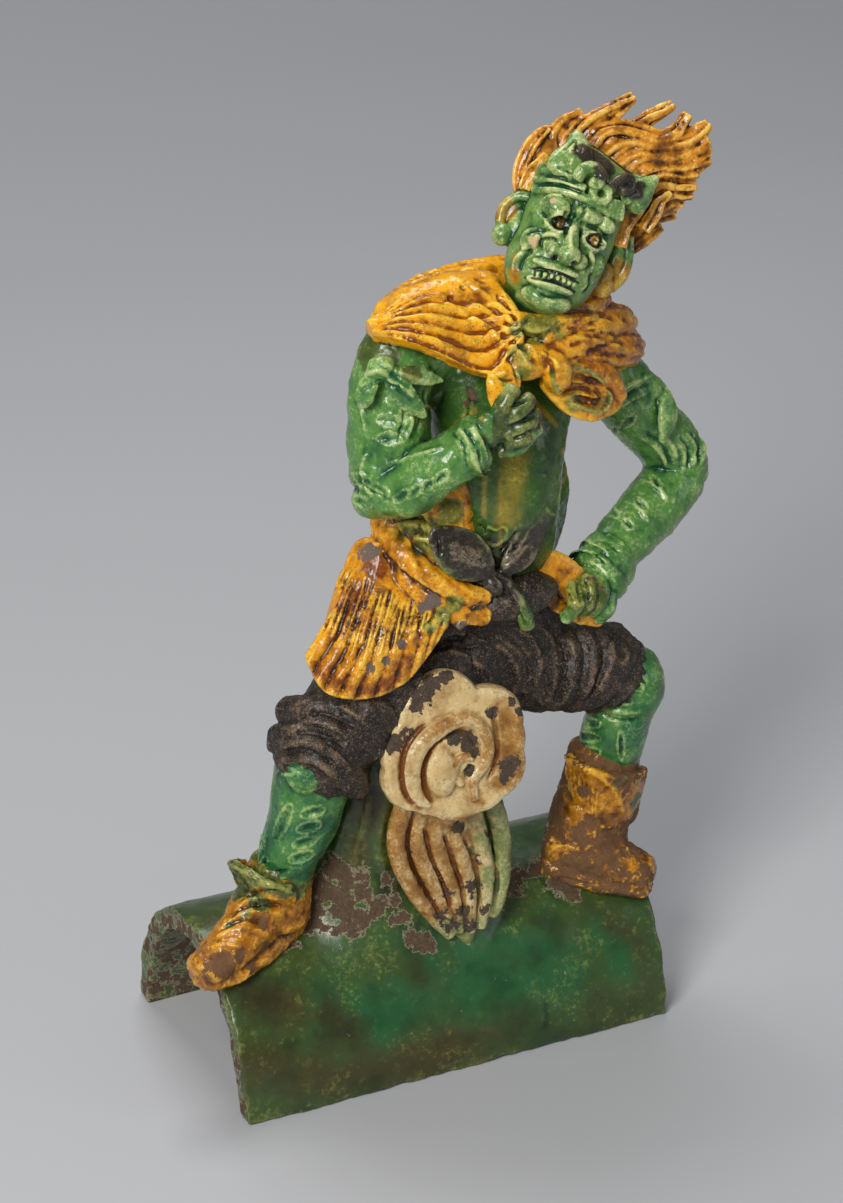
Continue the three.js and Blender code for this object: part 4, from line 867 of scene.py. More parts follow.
boots = Clay([roll(LEFT_ANKLE), roll(LEFT_FOOT, front=UP), roll(LEFT_SOLE, front=UP, dome=0.35),
              roll(RIGHT_ANKLE), roll(RIGHT_FOOT, front=UP), roll(RIGHT_SOLE, front=UP, dome=0.35),
              sheet(left_cuff, 7), sheet(right_cuff, 7)], 1.2, soften=3)
boots.v += boots.n * (0.9 * waves(boots.v, 20, 41) + 0.4 * waves(boots.v, 8, 42))[:, None]
BOOT_FOLDS = [((240, 899), (256, 886), (271, 884), (287, 888), (303, 876)),
              ((232, 912), (250, 900), (272, 897), (296, 896)),
              ((222, 926), (240, 914), (262, 912), (284, 914)),
              ((214, 940), (232, 930), (254, 930), (270, 936)), ((204, 950), (222, 944), (240, 948)),
              ((196, 964), (212, 974), (226, 978)), ((226, 878), (236, 864), (252, 852)),
              ((573, 760), (600, 776), (618, 798), (624, 820)), ((627, 772), (640, 794), (634, 822)),
              ((548, 850), (566, 846), (584, 852)), ((600, 860), (622, 850), (640, 852)),
              ((566, 806), (590, 814), (606, 832))]
boots.draw(BOOT_FOLDS, 2.6, 2.0)
BOOT_GROOVES = [((236, 906), (254, 893), (276, 891), (300, 888)),
                ((226, 920), (246, 907), (268, 905), (290, 906)),
                ((216, 934), (236, 922), (258, 921), (278, 926)), ((222, 904), (226, 888), (238, 876)),
                ((206, 960), (222, 956), (240, 962)), ((600, 832), (617, 830), (630, 838)),
                ((540, 866), (575, 882), (640, 886))]
boots.draw(BOOT_GROOVES, 1.6, -2.0)
SCRATCHES = [((566 + 5 * k, 764 + 4 * k), (570 + 4 * k, 790 + 3 * k), (572 + 4 * k, 808 + 4 * k))
             for k in range(8)]
SCRATCHES += [((544 + 3 * k, 834 + 4 * k), (556 + 3 * k, 830 + 4 * k)) for k in range(6)]
SCRATCHES += [((600 + 10 * k, 846 + k), (606 + 10 * k, 856), (604 + 11 * k, 866)) for k in range(5)]
boots.draw(SCRATCHES, 0.9, -0.9)
is_right = smoothstep(boots.v[:, 0], 0, 20)
bare_right = 0.66 + 0.2 * waves(boots.v, 30, 44)
bare_left = np.clip(0.25 * waves(boots.v, 24, 45), 0, 1)
boots.mark("bare")[:] = is_right * bare_right + (1 - is_right) * bare_left
GLAZE_LEFT = [(568, 770, 10, -1), (576, 790, 11, -1), (586, 800, 10, -1), (602, 796, 13, -1),
              (596, 780, 10, -1), (572, 812, 8, -0.9), (616, 812, 11, -1), (651, 860, 7, -1),
              (656, 870, 5, -1), (632, 864, 5, -0.8), (634, 800, 14, -1), (640, 820, 8, -0.8),
              (554, 848, 8, -0.5)]
boots.blots("bare", GLAZE_LEFT)
BOOT_LOSSES = [(223, 965, 11, 0.95), (240, 957, 6, 0.8), (265, 947, 6, 0.8), (264, 924, 5, 0.8),
               (584, 792, 6, 0.9), (252, 968, 6, 0.7), (206, 968, 5, 0.6)]
boots.blots("bare", BOOT_LOSSES)
boots.mark("second")[:] = np.clip(0.5 * waves(boots.v, 30, 46) + 0.1, 0, 1)
BOOT_GREEN = [(262, 905, 8, 0.8), (300, 890, 9, 0.8), (308, 878, 9, 0.8), (270, 888, 9, 0.8),
              (243, 887, 13, 1.0), (232, 870, 13, 0.9), (258, 902, 9, 0.8), (286, 892, 8, 0.8),
              (246, 914, 7, 0.6), (275, 876, 6, 0.8), (293, 876, 6, 0.8), (231, 926, 6, 0.6),
              (228, 896, 7, 0.7), (622, 780, 9, 0.6), (636, 800, 9, 0.8), (632, 822, 8, 0.7),
              (612, 770, 7, 0.5)]
boots.blots("third", BOOT_GREEN)
cuff_band = smoothstep(boots.v[:, 2], 34, 46) * (1 - is_right)
boots.mark("third")[:] = np.maximum(boots.mark("third"),
                                    cuff_band * np.clip(0.75 + 0.4 * waves(boots.v, 16, 47), 0, 1))
BOOT_AMBER = ((0.92, 0.46, 0.035), (0.48, 0.18, 0.008), (0.10, 0.032, 0.003))
BOOT_BROWN = ((0.62, 0.34, 0.05), (0.26, 0.085, 0.010), (0.07, 0.022, 0.004))
BOOT_OLIVE = ((0.34, 0.36, 0.08), (0.10, 0.12, 0.020), (0.02, 0.03, 0.006))
boot_glaze = paint("boot_glaze", BOOT_AMBER, BOOT_BROWN, BOOT_OLIVE,
                   clay=((0.34, 0.165, 0.060), (0.13, 0.060, 0.022)), mottle=60, specks=0.8, veins=0.7,
                   grit=0.4)
boots.finish("boots", boot_glaze, keep=0.5)

# Shins: leggings under a clear green glaze, engraved with long pale-edged petals while the clay
# was soft, the deepest green lying in the strokes, partly as painted shade.
LEFT_SHIN = [[-88, -34, 146, 33, 33], [-97, -37, 118, 30, 31], [-103, -36, 90, 28, 28],
             [-113, -32, 62, 24, 25], [-120, -28, 38, 23, 24]]
RIGHT_SHIN = [[180, -30, 154, 27, 28], [189, -34, 142, 26, 28], [181, -32, 120, 26, 27],
              [175, -29, 92, 26, 27], [171, -25, 60, 23, 24]]
shins = Clay([roll(LEFT_SHIN, sides=48), lump((-106, -58, 143), (20, 13, 17)), roll(RIGHT_SHIN, sides=48),
              lump((198, -34, 152), (14, 17, 19))], 1.15, soften=3)
shins.v += shins.n * (0.8 * waves(shins.v, 34, 51) + 0.15 * waves(shins.v, 11, 52))[:, None]
SHIN_RIDGES = [((272, 772), (284, 760), (304, 762)), ((280, 782), (290, 772), (308, 774)),
               ((262, 800), (268, 830), (258, 860)), ((604, 670), (620, 666), (642, 676)),
               ((600, 704), (618, 712), (642, 712)), ((250, 874), (268, 880), (290, 876)),
               ((244, 890), (264, 892), (284, 884))]
shins.draw(SHIN_RIDGES, 2.2, 1.7)
SHIN_GROOVES = [((276, 778), (287, 767), (306, 768)), ((300, 790), (318, 792), (332, 800)),
                ((612, 668), (632, 672), (648, 686)), ((252, 868), (270, 873), (292, 869)),
                ((600, 712), (618, 720), (640, 719)), ((606, 772), (622, 780), (636, 776))]
shins.draw(SHIN_GROOVES, 1.4, -1.8)
SHIN_PETALS = [(283, 822, 20, 6, -66), (287, 771, 8, 4, 10), (262, 868, 13, 4, -70), (262, 842, 7, 3, 80)]
SHIN_PETALS += [(313 - 4 * k, 812 + 15 * k, 13, 5.5, -16) for k in range(4)]
SHIN_PETALS += [(588, 722 + 15 * k, 13, 5, 12 - 4 * k) for k in range(4)]
SHIN_PETALS += [(621, 746, 15, 3.5, 88), (634, 684, 11, 5, 30), (624, 700, 9, 4, 15), (612, 686, 7, 3, 60)]
shins.ovals(SHIN_PETALS, 0.9, 0.9)
shins.mark("second")[:] = np.clip(0.4 + 0.5 * waves(shins.v, 50, 53), 0, 1)
LEAF = ((0.40, 0.56, 0.18), (0.060, 0.22, 0.048), (0.006, 0.060, 0.024))
LEAF_DEEP = ((0.24, 0.44, 0.16), (0.020, 0.14, 0.044), (0.004, 0.036, 0.016))
shin_glaze = paint("shin_glaze", LEAF, LEAF_DEEP, mottle=45, specks=0.4, shine=0.17, dapple=0.4)
shins.finish("shins", shin_glaze, keep=0.42)

# Trousers: full breeches gathered over the knees in thick rolled hems, cloth folds rolled on in
# strips. Dark manganese glaze, worn to tan clay along the sharp crests.


def tiers(count, high, turn=0.10, seed=0):
    """Folds that ring a limb, slack and uneven."""
    rng = np.random.default_rng(seed)
    shift = rng.uniform(0, 6.28, 4)

    def relief(u, a):
        slack = turn * np.sin(a + shift[0]) * count
        where = u * count + slack + 0.16 * np.sin(2 * a + shift[1]) + 0.10 * np.sin(3 * a + shift[2] + 5 * u)
        fold = np.abs(np.sin(np.pi * where)) ** 0.6
        return high * (fold - 0.55) * (0.75 + 0.35 * np.sin(a * 2 + shift[3]))
    return relief


LEFT_LEG = [[60, 2, 190, 44, 42], [27, -12, 184, 45, 44], [-18, -24, 182, 43, 42], [-58, -32, 171, 39, 40],
            [-84, -36, 150, 36, 37], [-95, -37, 133, 33, 35]]
RIGHT_LEG = [[80, 0, 190, 44, 42], [112, -12, 172, 41, 41], [146, -24, 166, 38, 38],
             [170, -30, 156, 34, 34], [182, -33, 148, 27, 28]]
SEAT = [[86, 0, 158, 40, 36], [84, -4, 186, 54, 44], [82, -4, 218, 58, 44], [78, -6, 250, 52, 42]]
LOW_HEM = [[-113, -18, 154, 13], [-107, -46, 166, 14], [-93, -64, 155, 14], [-76, -64, 134, 14],
           [-64, -46, 120, 13]]
HIGH_HEM = [[-104, -14, 176, 12], [-94, -42, 184, 13], [-74, -60, 174, 13], [-52, -62, 156, 12]]
trousers = Clay([roll(LEFT_LEG, sides=72, relief=tiers(6, 6.5, 0.05, 1)),
                 roll(RIGHT_LEG, sides=72, relief=tiers(4, 5, 0.12, 2)), roll(SEAT, sides=72),
                 roll(LOW_HEM, front=UP), roll(HIGH_HEM, front=UP), lump((24, -14, 252), (38, 36, 42)),
                 lump((68, -56, 258), (40, 24, 18))], 1.4, soften=2)
trousers.v += trousers.n * (1.2 * waves(trousers.v, 30, 61) + 0.6 * waves(trousers.v, 10, 62))[:, None]
CLOTH_FOLDS = [((300, 714), (322, 704), (346, 710), (374, 728)),
               ((288, 730), (312, 722), (342, 732), (366, 752)),
               ((280, 748), (302, 742), (332, 752), (352, 772)),
               ((276, 764), (298, 758), (322, 766), (342, 782)), ((352, 690), (374, 684), (404, 690)),
               ((376, 702), (392, 714), (398, 736)), ((430, 642), (452, 632), (482, 640), (502, 660)),
               ((424, 660), (450, 652), (478, 664), (494, 682))]
CLOTH_FOLDS += [((484, 640), (506, 652), (518, 676), (508, 700)),
                ((508, 622), (532, 640), (540, 666), (530, 694)),
                ((536, 622), (552, 644), (556, 674), (544, 704)),
                ((558, 626), (574, 650), (572, 684), (556, 708)),
                ((582, 628), (594, 650), (590, 684), (576, 704)),
                ((604, 632), (613, 652), (606, 678), (596, 694)), ((620, 640), (626, 654), (621, 668))]
trousers.draw(CLOTH_FOLDS, 3.0, 2.8)
CLOTH_GAPS = [((294, 722), (318, 713), (344, 721), (370, 740)),
              ((284, 739), (308, 732), (337, 742), (359, 762)),
              ((278, 756), (300, 750), (327, 759), (347, 777)), ((360, 676), (384, 672), (410, 676)),
              ((440, 648), (470, 647), (494, 664))]
CLOTH_GAPS += [((498, 632), (520, 648), (530, 674), (520, 700)),
               ((548, 624), (563, 646), (564, 678), (551, 706)),
               ((571, 626), (584, 650), (581, 684), (566, 708)),
               ((594, 630), (604, 652), (598, 680), (586, 700))]
trousers.draw(CLOTH_GAPS, 1.8, -2.8)
BUTTON = (420, 680)
for spot in trousers.seen([BUTTON]):
    trousers.press(np.array([spot, spot + (0.3, 0, 0)]), 5.0, 2.2, taper=False)
    trousers.blot("second", spot, 6, 1.0)
trousers.normals()
SOOT = ((0.17, 0.11, 0.065), (0.016, 0.012, 0.009), (0.006, 0.005, 0.004))
SOOT_GREY = ((0.22, 0.19, 0.16), (0.075, 0.062, 0.052), (0.02, 0.016, 0.014))
soot_glaze = paint("trouser_glaze", SOOT, SOOT_GREY, clay=((0.42, 0.29, 0.18), (0.18, 0.12, 0.08)),
                   mottle=60, specks=0.3, shine=0.46, grit=1.0, dapple=0.1, dust=1.0)
trousers.finish("trousers", soot_glaze, keep=0.5, crest=0.72)

# Hip flap, belt and the rumpled skirt of the jacket: a fluted fan of amber cloth hung from two
# twisted rolls that pass round the waist, ribbed with a tool.
FLAP_TOP = [[-34, -12, 300], [-28, -30, 290], [-20, -44, 277], [-2, -56, 268], [16, -62, 266]]
FLAP_HEM = [[-101, -40, 236], [-95, -56, 214], [-78, -66, 206], [-54, -70, 204], [-30, -71, 212],
            [-10, -70, 230], [6, -68, 250]]
FLAP_OUT = (-0.4, -0.8, 0.45)
FLUTES = 10
BELT = [[58, 34, 290, 10], [12, 26, 306, 11], [-12, 4, 312, 11], [-17, -22, 308, 11], [-12, -42, 296, 11],
        [2, -56, 284, 11], [23, -64, 272, 9], [40, -68, 268, 7]]
SKIRT = [[34, -12, 356, 24, 34], [24, -16, 334, 30, 38], [20, -18, 308, 32, 40], [28, -16, 280, 34, 40]]
FLAP_CORE = [[-20, -12, 292, 26, 24], [-36, -22, 258, 32, 28], [-44, -30, 226, 36, 28],
             [-40, -32, 206, 32, 26]]


def leaf(start, stop, wide, thick, out, bend=6, cup=0.0):
    """A leaf of clay, pointed at both ends and bowed outward."""
    start, stop, out = np.array(start, float), np.array(stop, float), unit(out)
    across = unit(np.cross(unit(stop - start), out))

    def surface(u, v):
        half = wide * np.sin(np.pi * np.clip(v * 0.92 + 0.05, 0, 1)) ** 0.75
        s = 2 * u - 1
        p = start + (stop - start) * v[..., None] + across * (half * s)[..., None]
        return p + out * (bend * np.sin(np.pi * v) - cup * s ** 2)[..., None]
    return sheet(surface, lambda u, v: thick * (1 - 0.55 * np.abs(2 * u - 1) ** 3), across=24, down=40)


def flutes(u, v):
    swell = 13 * np.sin(np.pi * u) * np.sin(np.pi * np.clip(v, 0.05, 0.95))
    return swell + 6.5 * u ** 0.8 * (np.abs(np.sin(FLUTES * np.pi * (v + 0.012 * np.sin(8 * u)))) ** 0.6
                                     - 0.55)


def twist(count, high, turns):
    """Cords laid round a roll."""
    return lambda u, a: high * (np.abs(np.sin(count / 2 * a + turns * np.pi * u)) ** 0.6 - 0.5)


RIGHT_FLAP = leaf((88, -40, 286), (146, -52, 214), 20, 12, (-0.1, -0.9, 0.42))
FAN = sheet(between(FLAP_TOP, FLAP_HEM, FLAP_OUT, relief=flutes), 12, across=80, down=200, out=FLAP_OUT)
LOWER_BELT = [[x - 1, y - 2, z - 15, r] for x, y, z, r in BELT]
cloth = Clay([RIGHT_FLAP, FAN, roll(FLAP_CORE, sides=48), roll(BELT, relief=twist(6, 1.4, 5)),
              roll(LOWER_BELT, relief=twist(6, 1.4, 4)), roll(SKIRT, sides=60, relief=tiers(5, 4, 0.1, 7))],
             1.15, soften=2)
cloth.v += cloth.n * (0.5 * waves(cloth.v, 20, 71) + 0.35 * waves(cloth.v, 7, 72))[:, None]
RIBS = 25
FAN_TOP, FAN_HEM = ((346, 560), (440, 606)), ((300, 648), (424, 628))
FAN_SAG = 42
ribs = []
for k in range(RIBS):
    v = (k + 0.5) / RIBS
    top = np.array(FAN_TOP[0]) * (1 - v) + np.array(FAN_TOP[1]) * v
    hem = np.array(FAN_HEM[0]) * (1 - v) + np.array(FAN_HEM[1]) * v + (0, FAN_SAG * math.sin(math.pi * v))
    ribs.append([top + (hem - top) * w + (2.5 * math.sin(5 * w + k), 0) for w in (0.08, 0.3, 0.52, 0.74)])
cloth.draw(ribs, 1.1, -2.3)
SKIRT_FOLDS = [((385, 515), (400, 508), (420, 512), (440, 506)), ((388, 530), (410, 524), (436, 530)),
               ((400, 545), (420, 538), (444, 548)), ((395, 512), (402, 530), (412, 548)),
               ((425, 508), (430, 528), (440, 552)), ((459, 603), (444, 616), (428, 629))]
cloth.draw(SKIRT_FOLDS, 2.2, 2.2)
SKIRT_GAPS = [((534, 584), (548, 602), (570, 622)), ((546, 580), (564, 600), (582, 622)),
              ((390, 522), (413, 517), (438, 520)), ((394, 538), (416, 532), (440, 539)),
              ((418, 510), (420, 530), (428, 550)), ((376, 546), (398, 568), (424, 588), (452, 600))]
cloth.draw(SKIRT_GAPS, 1.5, -2.4)
FLAP_LOSSES = [(327, 596, 8, 1.2), (320, 608, 8, 1.2), (314, 622, 7, 1.1), (432, 601, 7, 1.0),
               (368, 552, 9, 0.8), (424, 606, 5, 0.9), (386, 660, 4, 0.9), (402, 645, 4, 0.9),
               (370, 668, 4, 0.8)]
cloth.blots("bare", FLAP_LOSSES)
FLAP_BURNT = [(350, 600, 15, 0.75), (366, 622, 13, 0.65), (345, 628, 9, 0.6), (545, 600, 12, 1.0),
              (536, 590, 9, 0.9), (562, 616, 8, 0.7), (375, 566, 12, 0.7), (362, 575, 9, 0.5),
              (330, 672, 10, 0.6), (308, 640, 7, 0.5), (352, 682, 9, 0.5), (415, 640, 10, 0.5),
              (392, 668, 9, 0.6)]
cloth.blots("second", FLAP_BURNT)
HEM_RUN = ((300, 645), (318, 668), (345, 684), (378, 686), (408, 664))
cloth.stains("second", [(HEM_RUN, 11, 0.75)])
FLAP_MOSS = [(452, 512, 12, 0.8), (395, 512, 10, 0.6), (420, 548, 9, 0.6), (410, 520, 15, 0.8),
             (430, 535, 15, 0.9), (398, 535, 9, 0.5), (455, 603, 8, 0.9), (443, 616, 8, 0.9),
             (430, 628, 7, 0.7), (440, 550, 12, 0.8)]
cloth.blots("third", FLAP_MOSS)
FLAP_AMBER = ((1.0, 0.62, 0.06), (0.84, 0.32, 0.006), (0.075, 0.016, 0.002))
BURNT = ((0.66, 0.26, 0.02), (0.28, 0.065, 0.004), (0.035, 0.010, 0.003))
MOSS = ((0.52, 0.46, 0.09), (0.22, 0.21, 0.028), (0.045, 0.045, 0.008))
flap_glaze = paint("flap_glaze", FLAP_AMBER, BURNT, MOSS, clay=((0.26, 0.21, 0.17), (0.14, 0.10, 0.08)),
                   mottle=60, specks=0.8, veins=0.8)
cloth.finish("flap_and_belt", flap_glaze, keep=0.5)

# Torso: a tight green jacket over a round belly, amber runs down its middle, and at the waist dark
# leaf panels, a heart-shaped loop and a knot, cut from slabs and luted on.


def right_skirt(u, v):
    return np.stack([112 + 22 * v - 12 * (2 * u - 1) ** 2, 18 * v - 30, 268 + 94 * u], -1)


TRUNK = [[84, -4, 225, 50, 42], [76, -8, 260, 48, 42], [73, -14, 303, 47, 46], [74, -14, 343, 48, 48],
         [78, -8, 386, 56, 46], [86, -3, 422, 68, 42], [96, 0, 446, 54, 32], [104, -2, 462, 32, 28]]
NECK = [[100, 0, 446, 34, 30], [110, -10, 474, 31, 29], [118, -18, 506, 29, 29]]
LEFT_PANEL = leaf((-2, -56, 328), (46, -66, 284), 19, 6, (-0.2, -0.93, 0.3))
RIGHT_PANEL = leaf((86, -54, 312), (54, -66, 282), 13, 6, (0.1, -0.93, 0.3))
RIBBONS = [[[54, -68, 280, 6], [66, -75, 260, 6.5], [74, -72, 238, 6]],
           [[46, -66, 272, 6], [30, -69, 262, 5], [14, -71, 250, 4]]]


def belly(u, a):
    return 8 * np.exp(-((u - 0.42) / 0.2) ** 2) * np.maximum(0, np.sin(a))


torso = Clay([roll(TRUNK, sides=72, relief=belly), lump((22, -4, 430), (22, 20, 24)),
              sheet(right_skirt, 13), LEFT_PANEL, RIGHT_PANEL, lump((48, -62, 276), (14, 14, 12)),
              roll(NECK)] + [roll(r) for r in RIBBONS], 1.25, soften=3)
torso.v += torso.n * (0.6 * waves(torso.v, 36, 81) + 0.2 * waves(torso.v, 10, 82))[:, None]
WAIST_EDGES = [((528, 532), (519, 548), (504, 562)), ((484, 540), (488, 527), (496, 530), (504, 526),
                                                      (507, 536), (496, 545), (484, 540)),
               ((530, 542), (514, 560), (503, 570)), ((496, 590), (508, 604), (520, 628)),
               ((512, 586), (522, 600), (532, 626)), ((529, 578), (548, 584), (570, 604), (584, 626)),
               ((532, 592), (546, 612), (560, 624)), ((556, 424), (566, 450), (562, 476), (552, 500)),
               ((543, 503), (552, 514), (562, 502))]
torso.draw(WAIST_EDGES, 1.4, 1.6)
WAIST_GROOVES = [((512, 548), (518, 545)), ((504, 590), (515, 604), (526, 626)),
                 ((540, 590), (556, 606), (572, 622)), ((430, 510), (438, 535), (440, 556)),
                 ((462, 527), (480, 526), (486, 533)), ((500, 552), (510, 542), (518, 530)),
                 ((470, 582), (482, 588), (494, 600)), ((470, 392), (466, 420), (452, 444)),
                 ((494, 572), (502, 580), (508, 592))]
torso.draw(WAIST_GROOVES, 1.5, -2.4)
PANEL_PITS = [(451 + 7 * (k % 5) + 2 * (k // 5), 545 + 6 * (k // 5) + 2 * (k % 5), 2.2, 1.6, 20)
              for k in range(15)]
torso.ovals(PANEL_PITS, 0.8, 0.7)
BELLY_GLOW = [(((512, 415), (515, 450), (512, 490), (506, 520)), 13, 0.7),
              (((485, 476), (484, 510), (486, 545)), 2.4, 0.95),
              (((500, 480), (501, 515), (500, 545)), 2.2, 0.9),
              (((536, 404), (546, 414), (557, 426)), 2.6, 1.0),
              (((562, 452), (566, 474), (558, 500)), 4, 0.8), (((532, 578), (552, 592), (584, 624)), 9,
                                                               1.0), (((475, 410), (462, 420), (451, 430)),
                                                                      3, 0.7), (((446, 536), (468, 537),
                                                                                 (490, 562)), 1.6, 0.6)]
torso.stains("second", BELLY_GLOW)
WAIST_DARK = [(((438, 536), (452, 550), (470, 566)), 15), (((456, 540), (474, 552), (486, 566)), 10),
              (((474, 590), (486, 584)), 8), (((462, 586), (478, 600)), 8),
              (((452, 545), (468, 560), (484, 570)), 9), (((512, 552), (522, 544)), 6),
              (((470, 586), (480, 596), (494, 612)), 9), (((490, 540), (494, 543)), 3),
              (((470, 390), (474, 400)), 4)]
torso.stains("third", [(line, width, 1.0) for line, width in WAIST_DARK])
PANEL_LINES = [((2, -60, 326), (22, -66, 308), (42, -68, 288)), ((84, -60, 310), (68, -66, 296)),
               ((44, -72, 280), (56, -72, 276)), ((24, -72, 262), (14, -71, 252))]
for line in PANEL_LINES:
    torso.stain("third", np.array(line, float), 23, 1.0)
below = smoothstep(-torso.v[:, 2], -262, -248) * smoothstep(torso.v[:, 1], -74, -50)
torso.mark("third")[:] = np.maximum(torso.mark("third"), below)
BELLY_PITS = [(471, 394, 4, 0.7), (466, 402, 3, 0.7), (478, 398, 3, 0.6)]
torso.blots("bare", BELLY_PITS)
JACKET = ((0.24, 0.36, 0.07), (0.042, 0.125, 0.018), (0.008, 0.034, 0.007))
BELLY_GOLD = ((0.66, 0.52, 0.06), (0.34, 0.26, 0.020), (0.14, 0.10, 0.008))
PANEL_DARK = ((0.26, 0.20, 0.13), (0.030, 0.024, 0.016), (0.008, 0.007, 0.005))
jacket_glaze = paint("jacket_glaze", JACKET, BELLY_GOLD, PANEL_DARK, mottle=38, specks=0.45, shine=0.17,
                     edge=(0.1, 0.9), dust=0.12, veins=0.4)
torso.finish("torso", jacket_glaze, keep=0.4)

# Arms and hands: puffed sleeves tied above the elbow with a bow, cuffs turned back, both hands
# clenched. Leaf green glaze, thin and pale on the high folds with a painted highlight, nearly black
# on the raised hand, with painted shade on the upper sleeve and round the fists.


def fingers(lines):
    return [roll(line, sides=18, step=1.2, front=UP) for line in lines]


PALM_AXES = [unit((0.8, -0.2, 0.55)), unit((0.05, -0.9, -0.42)), unit((-0.6, -0.3, 0.75))]
LEFT_UPPER = [[34, -2, 450, 26, 26], [-2, -7, 458, 29, 29], [-14, -14, 432, 31, 31],
              [-19, -21, 396, 32, 32], [-25, -30, 366, 30, 30]]
LEFT_FOREARM = [[-29, -30, 363, 28, 27], [-18, -50, 368, 25, 25], [-2, -66, 385, 22, 22],
                [16, -76, 399, 20, 20], [26, -80, 404, 19, 18]]
LEFT_CUFF = [[14, -75, 398, 19], [24, -82, 405, 24], [27, -84, 406, 20]]
LEFT_FINGERS = [[[36, -86, 424, 7], [40, -92, 438, 7], [50, -90, 450, 6]],
                [[42, -90, 422, 7], [52, -96, 434, 7], [63, -92, 440, 6]],
                [[44, -92, 415, 7], [56, -97, 422, 7], [68, -92, 427, 6]],
                [[44, -92, 407, 7], [56, -97, 412, 7], [69, -92, 415, 6]],
                [[40, -90, 400, 6], [52, -94, 402, 6], [63, -90, 405, 5]]]
RIGHT_UPPER = [[138, 2, 432, 30, 28], [178, 3, 402, 28, 28], [207, 4, 364, 26, 27], [234, 5, 332, 25, 26],
               [246, 4, 311, 24, 25]]
RIGHT_FOREARM = [[247, 2, 316, 24], [239, -2, 298, 25], [210, -15, 281, 25], [178, -27, 266, 22],
                 [158, -35, 256, 20]]
RIGHT_CUFFS = [[170, -30, 264, 22], [161, -35, 256, 26], [157, -36, 254, 22], [151, -40, 250, 27],
               [148, -41, 249, 21]]
RIGHT_TIE = [[198, -14, 400, 9, 7], [212, -12, 386, 11, 9], [224, 0, 376, 9, 8]]
RIGHT_KNUCKLES = ((118, 256), (130, 258), (142, 255), (150, 246))


def slack(u, a):
    return 6.6 * np.sin(3 * a + 5 * u) * u * (1 - u)


arm_parts = [roll(LEFT_UPPER, sides=48, relief=slack), lump((-35, -30, 352), (19, 18, 17)),
             roll(LEFT_FOREARM, sides=48), roll(LEFT_CUFF, dome=0.2), lump((-34, -38, 462), (12, 9, 10)),
             leaf((-32, -42, 460), (-6, -54, 424), 9, 6, (-0.5, -0.8, 0.2)),
             leaf((-38, -38, 460), (-48, -34, 432), 8, 6, (-0.7, -0.6, 0.2)),
             leaf((-28, -44, 462), (10, -50, 448), 7, 5, (-0.3, -0.8, 0.4)),
             lump((38, -84, 416), (17, 11, 20), PALM_AXES), roll(RIGHT_UPPER, sides=48),
             roll(RIGHT_FOREARM, sides=48), roll(RIGHT_CUFFS, dome=0.25), roll(RIGHT_TIE),
             leaf((222, -14, 386), (214, -26, 346), 9, 7, (0.3, -0.9, 0.3)),
             lump((256, 2, 314), (12, 20, 22)), lump((134, -48, 242), (23, 18, 20))]
arm_parts += fingers(LEFT_FINGERS)
arm_parts += fingers([[[x + 4, -54, z - 2, 7], [x, -68 + 2 * k, z - 12, 7], [x - 5, -62 + 2 * k, z - 26, 6]]
                      for k, (x, z) in enumerate(RIGHT_KNUCKLES)])
arms = Clay(arm_parts, 1.1, soften=2)
arms.v += arms.n * (0.9 * waves(arms.v, 28, 91) + 0.15 * waves(arms.v, 9, 92))[:, None]
SLEEVE_FOLDS = [((356, 385), (372, 372), (395, 372)), ((376, 366), (390, 380), (403, 413)),
                ((380, 362), (404, 374), (425, 382)), ((389, 378), (404, 388), (415, 399)),
                ((356, 392), (362, 410), (366, 436)), ((405, 396), (412, 420), (404, 444)),
                ((368, 450), (362, 470), (366, 488)), ((432, 384), (436, 420), (428, 445)),
                ((418, 402), (430, 408), (442, 402)), ((384, 466), (404, 460), (428, 452), (446, 446)),
                ((458, 428), (466, 438), (475, 462)), ((468, 427), (480, 440), (487, 462)),
                ((685, 432), (694, 446), (694, 468)), ((694, 428), (703, 444), (703, 462)),
                ((676, 440), (684, 455), (682, 474)), ((640, 436), (660, 452), (668, 470)),
                ((655, 430), (672, 446), (678, 462)), ((614, 395), (632, 384), (650, 376)),
                ((610, 412), (630, 400), (648, 392)), ((580, 541), (598, 548), (617, 565)),
                ((569, 553), (590, 560), (610, 577)), ((584, 530), (606, 534), (624, 546)),
                ((620, 500), (640, 510), (650, 524)), ((640, 480), (660, 490), (668, 504))]
arms.draw(SLEEVE_FOLDS, 2.0, 2.0)
SLEEVE_GAPS = [((362, 390), (378, 382), (398, 388)), ((356, 478), (370, 490), (390, 500)),
               ((398, 385), (404, 412), (398, 440)), ((452, 432), (462, 446), (468, 468)),
               ((463, 428), (473, 440), (481, 463)), ((680, 436), (689, 450), (688, 470)),
               ((690, 430), (699, 446), (698, 466)), ((612, 404), (632, 392), (650, 384)),
               ((574, 548), (594, 554), (614, 571)), ((580, 535), (600, 540), (620, 553)),
               ((425, 372), (424, 400), (416, 432)), ((646, 432), (664, 448), (672, 466)),
               ((500, 411), (514, 405), (529, 400)), ((506, 427), (520, 422), (537, 416)),
               ((513, 439), (524, 435), (535, 428)), ((564, 590), (568, 595), (572, 601)),
               ((576, 578), (578, 590), (580, 606)), ((585, 578), (588, 592), (590, 606))]
arms.draw(SLEEVE_GAPS, 1.4, -2.3)
SLEEVE_PETALS = [(389, 421, 13, 6.5, 5), (389, 439, 13, 6.5, 2)]
SLEEVE_PETALS += [(363, 480, 11, 5, 30), (361, 491, 11, 5, 28), (362, 502, 11, 5, 25), (380, 490, 11, 5, 35)]
SLEEVE_PETALS += [(402 + 13 * k, 496 - 3.4 * k - 0.9 * k * k, 10, 5, -38) for k in range(4)]
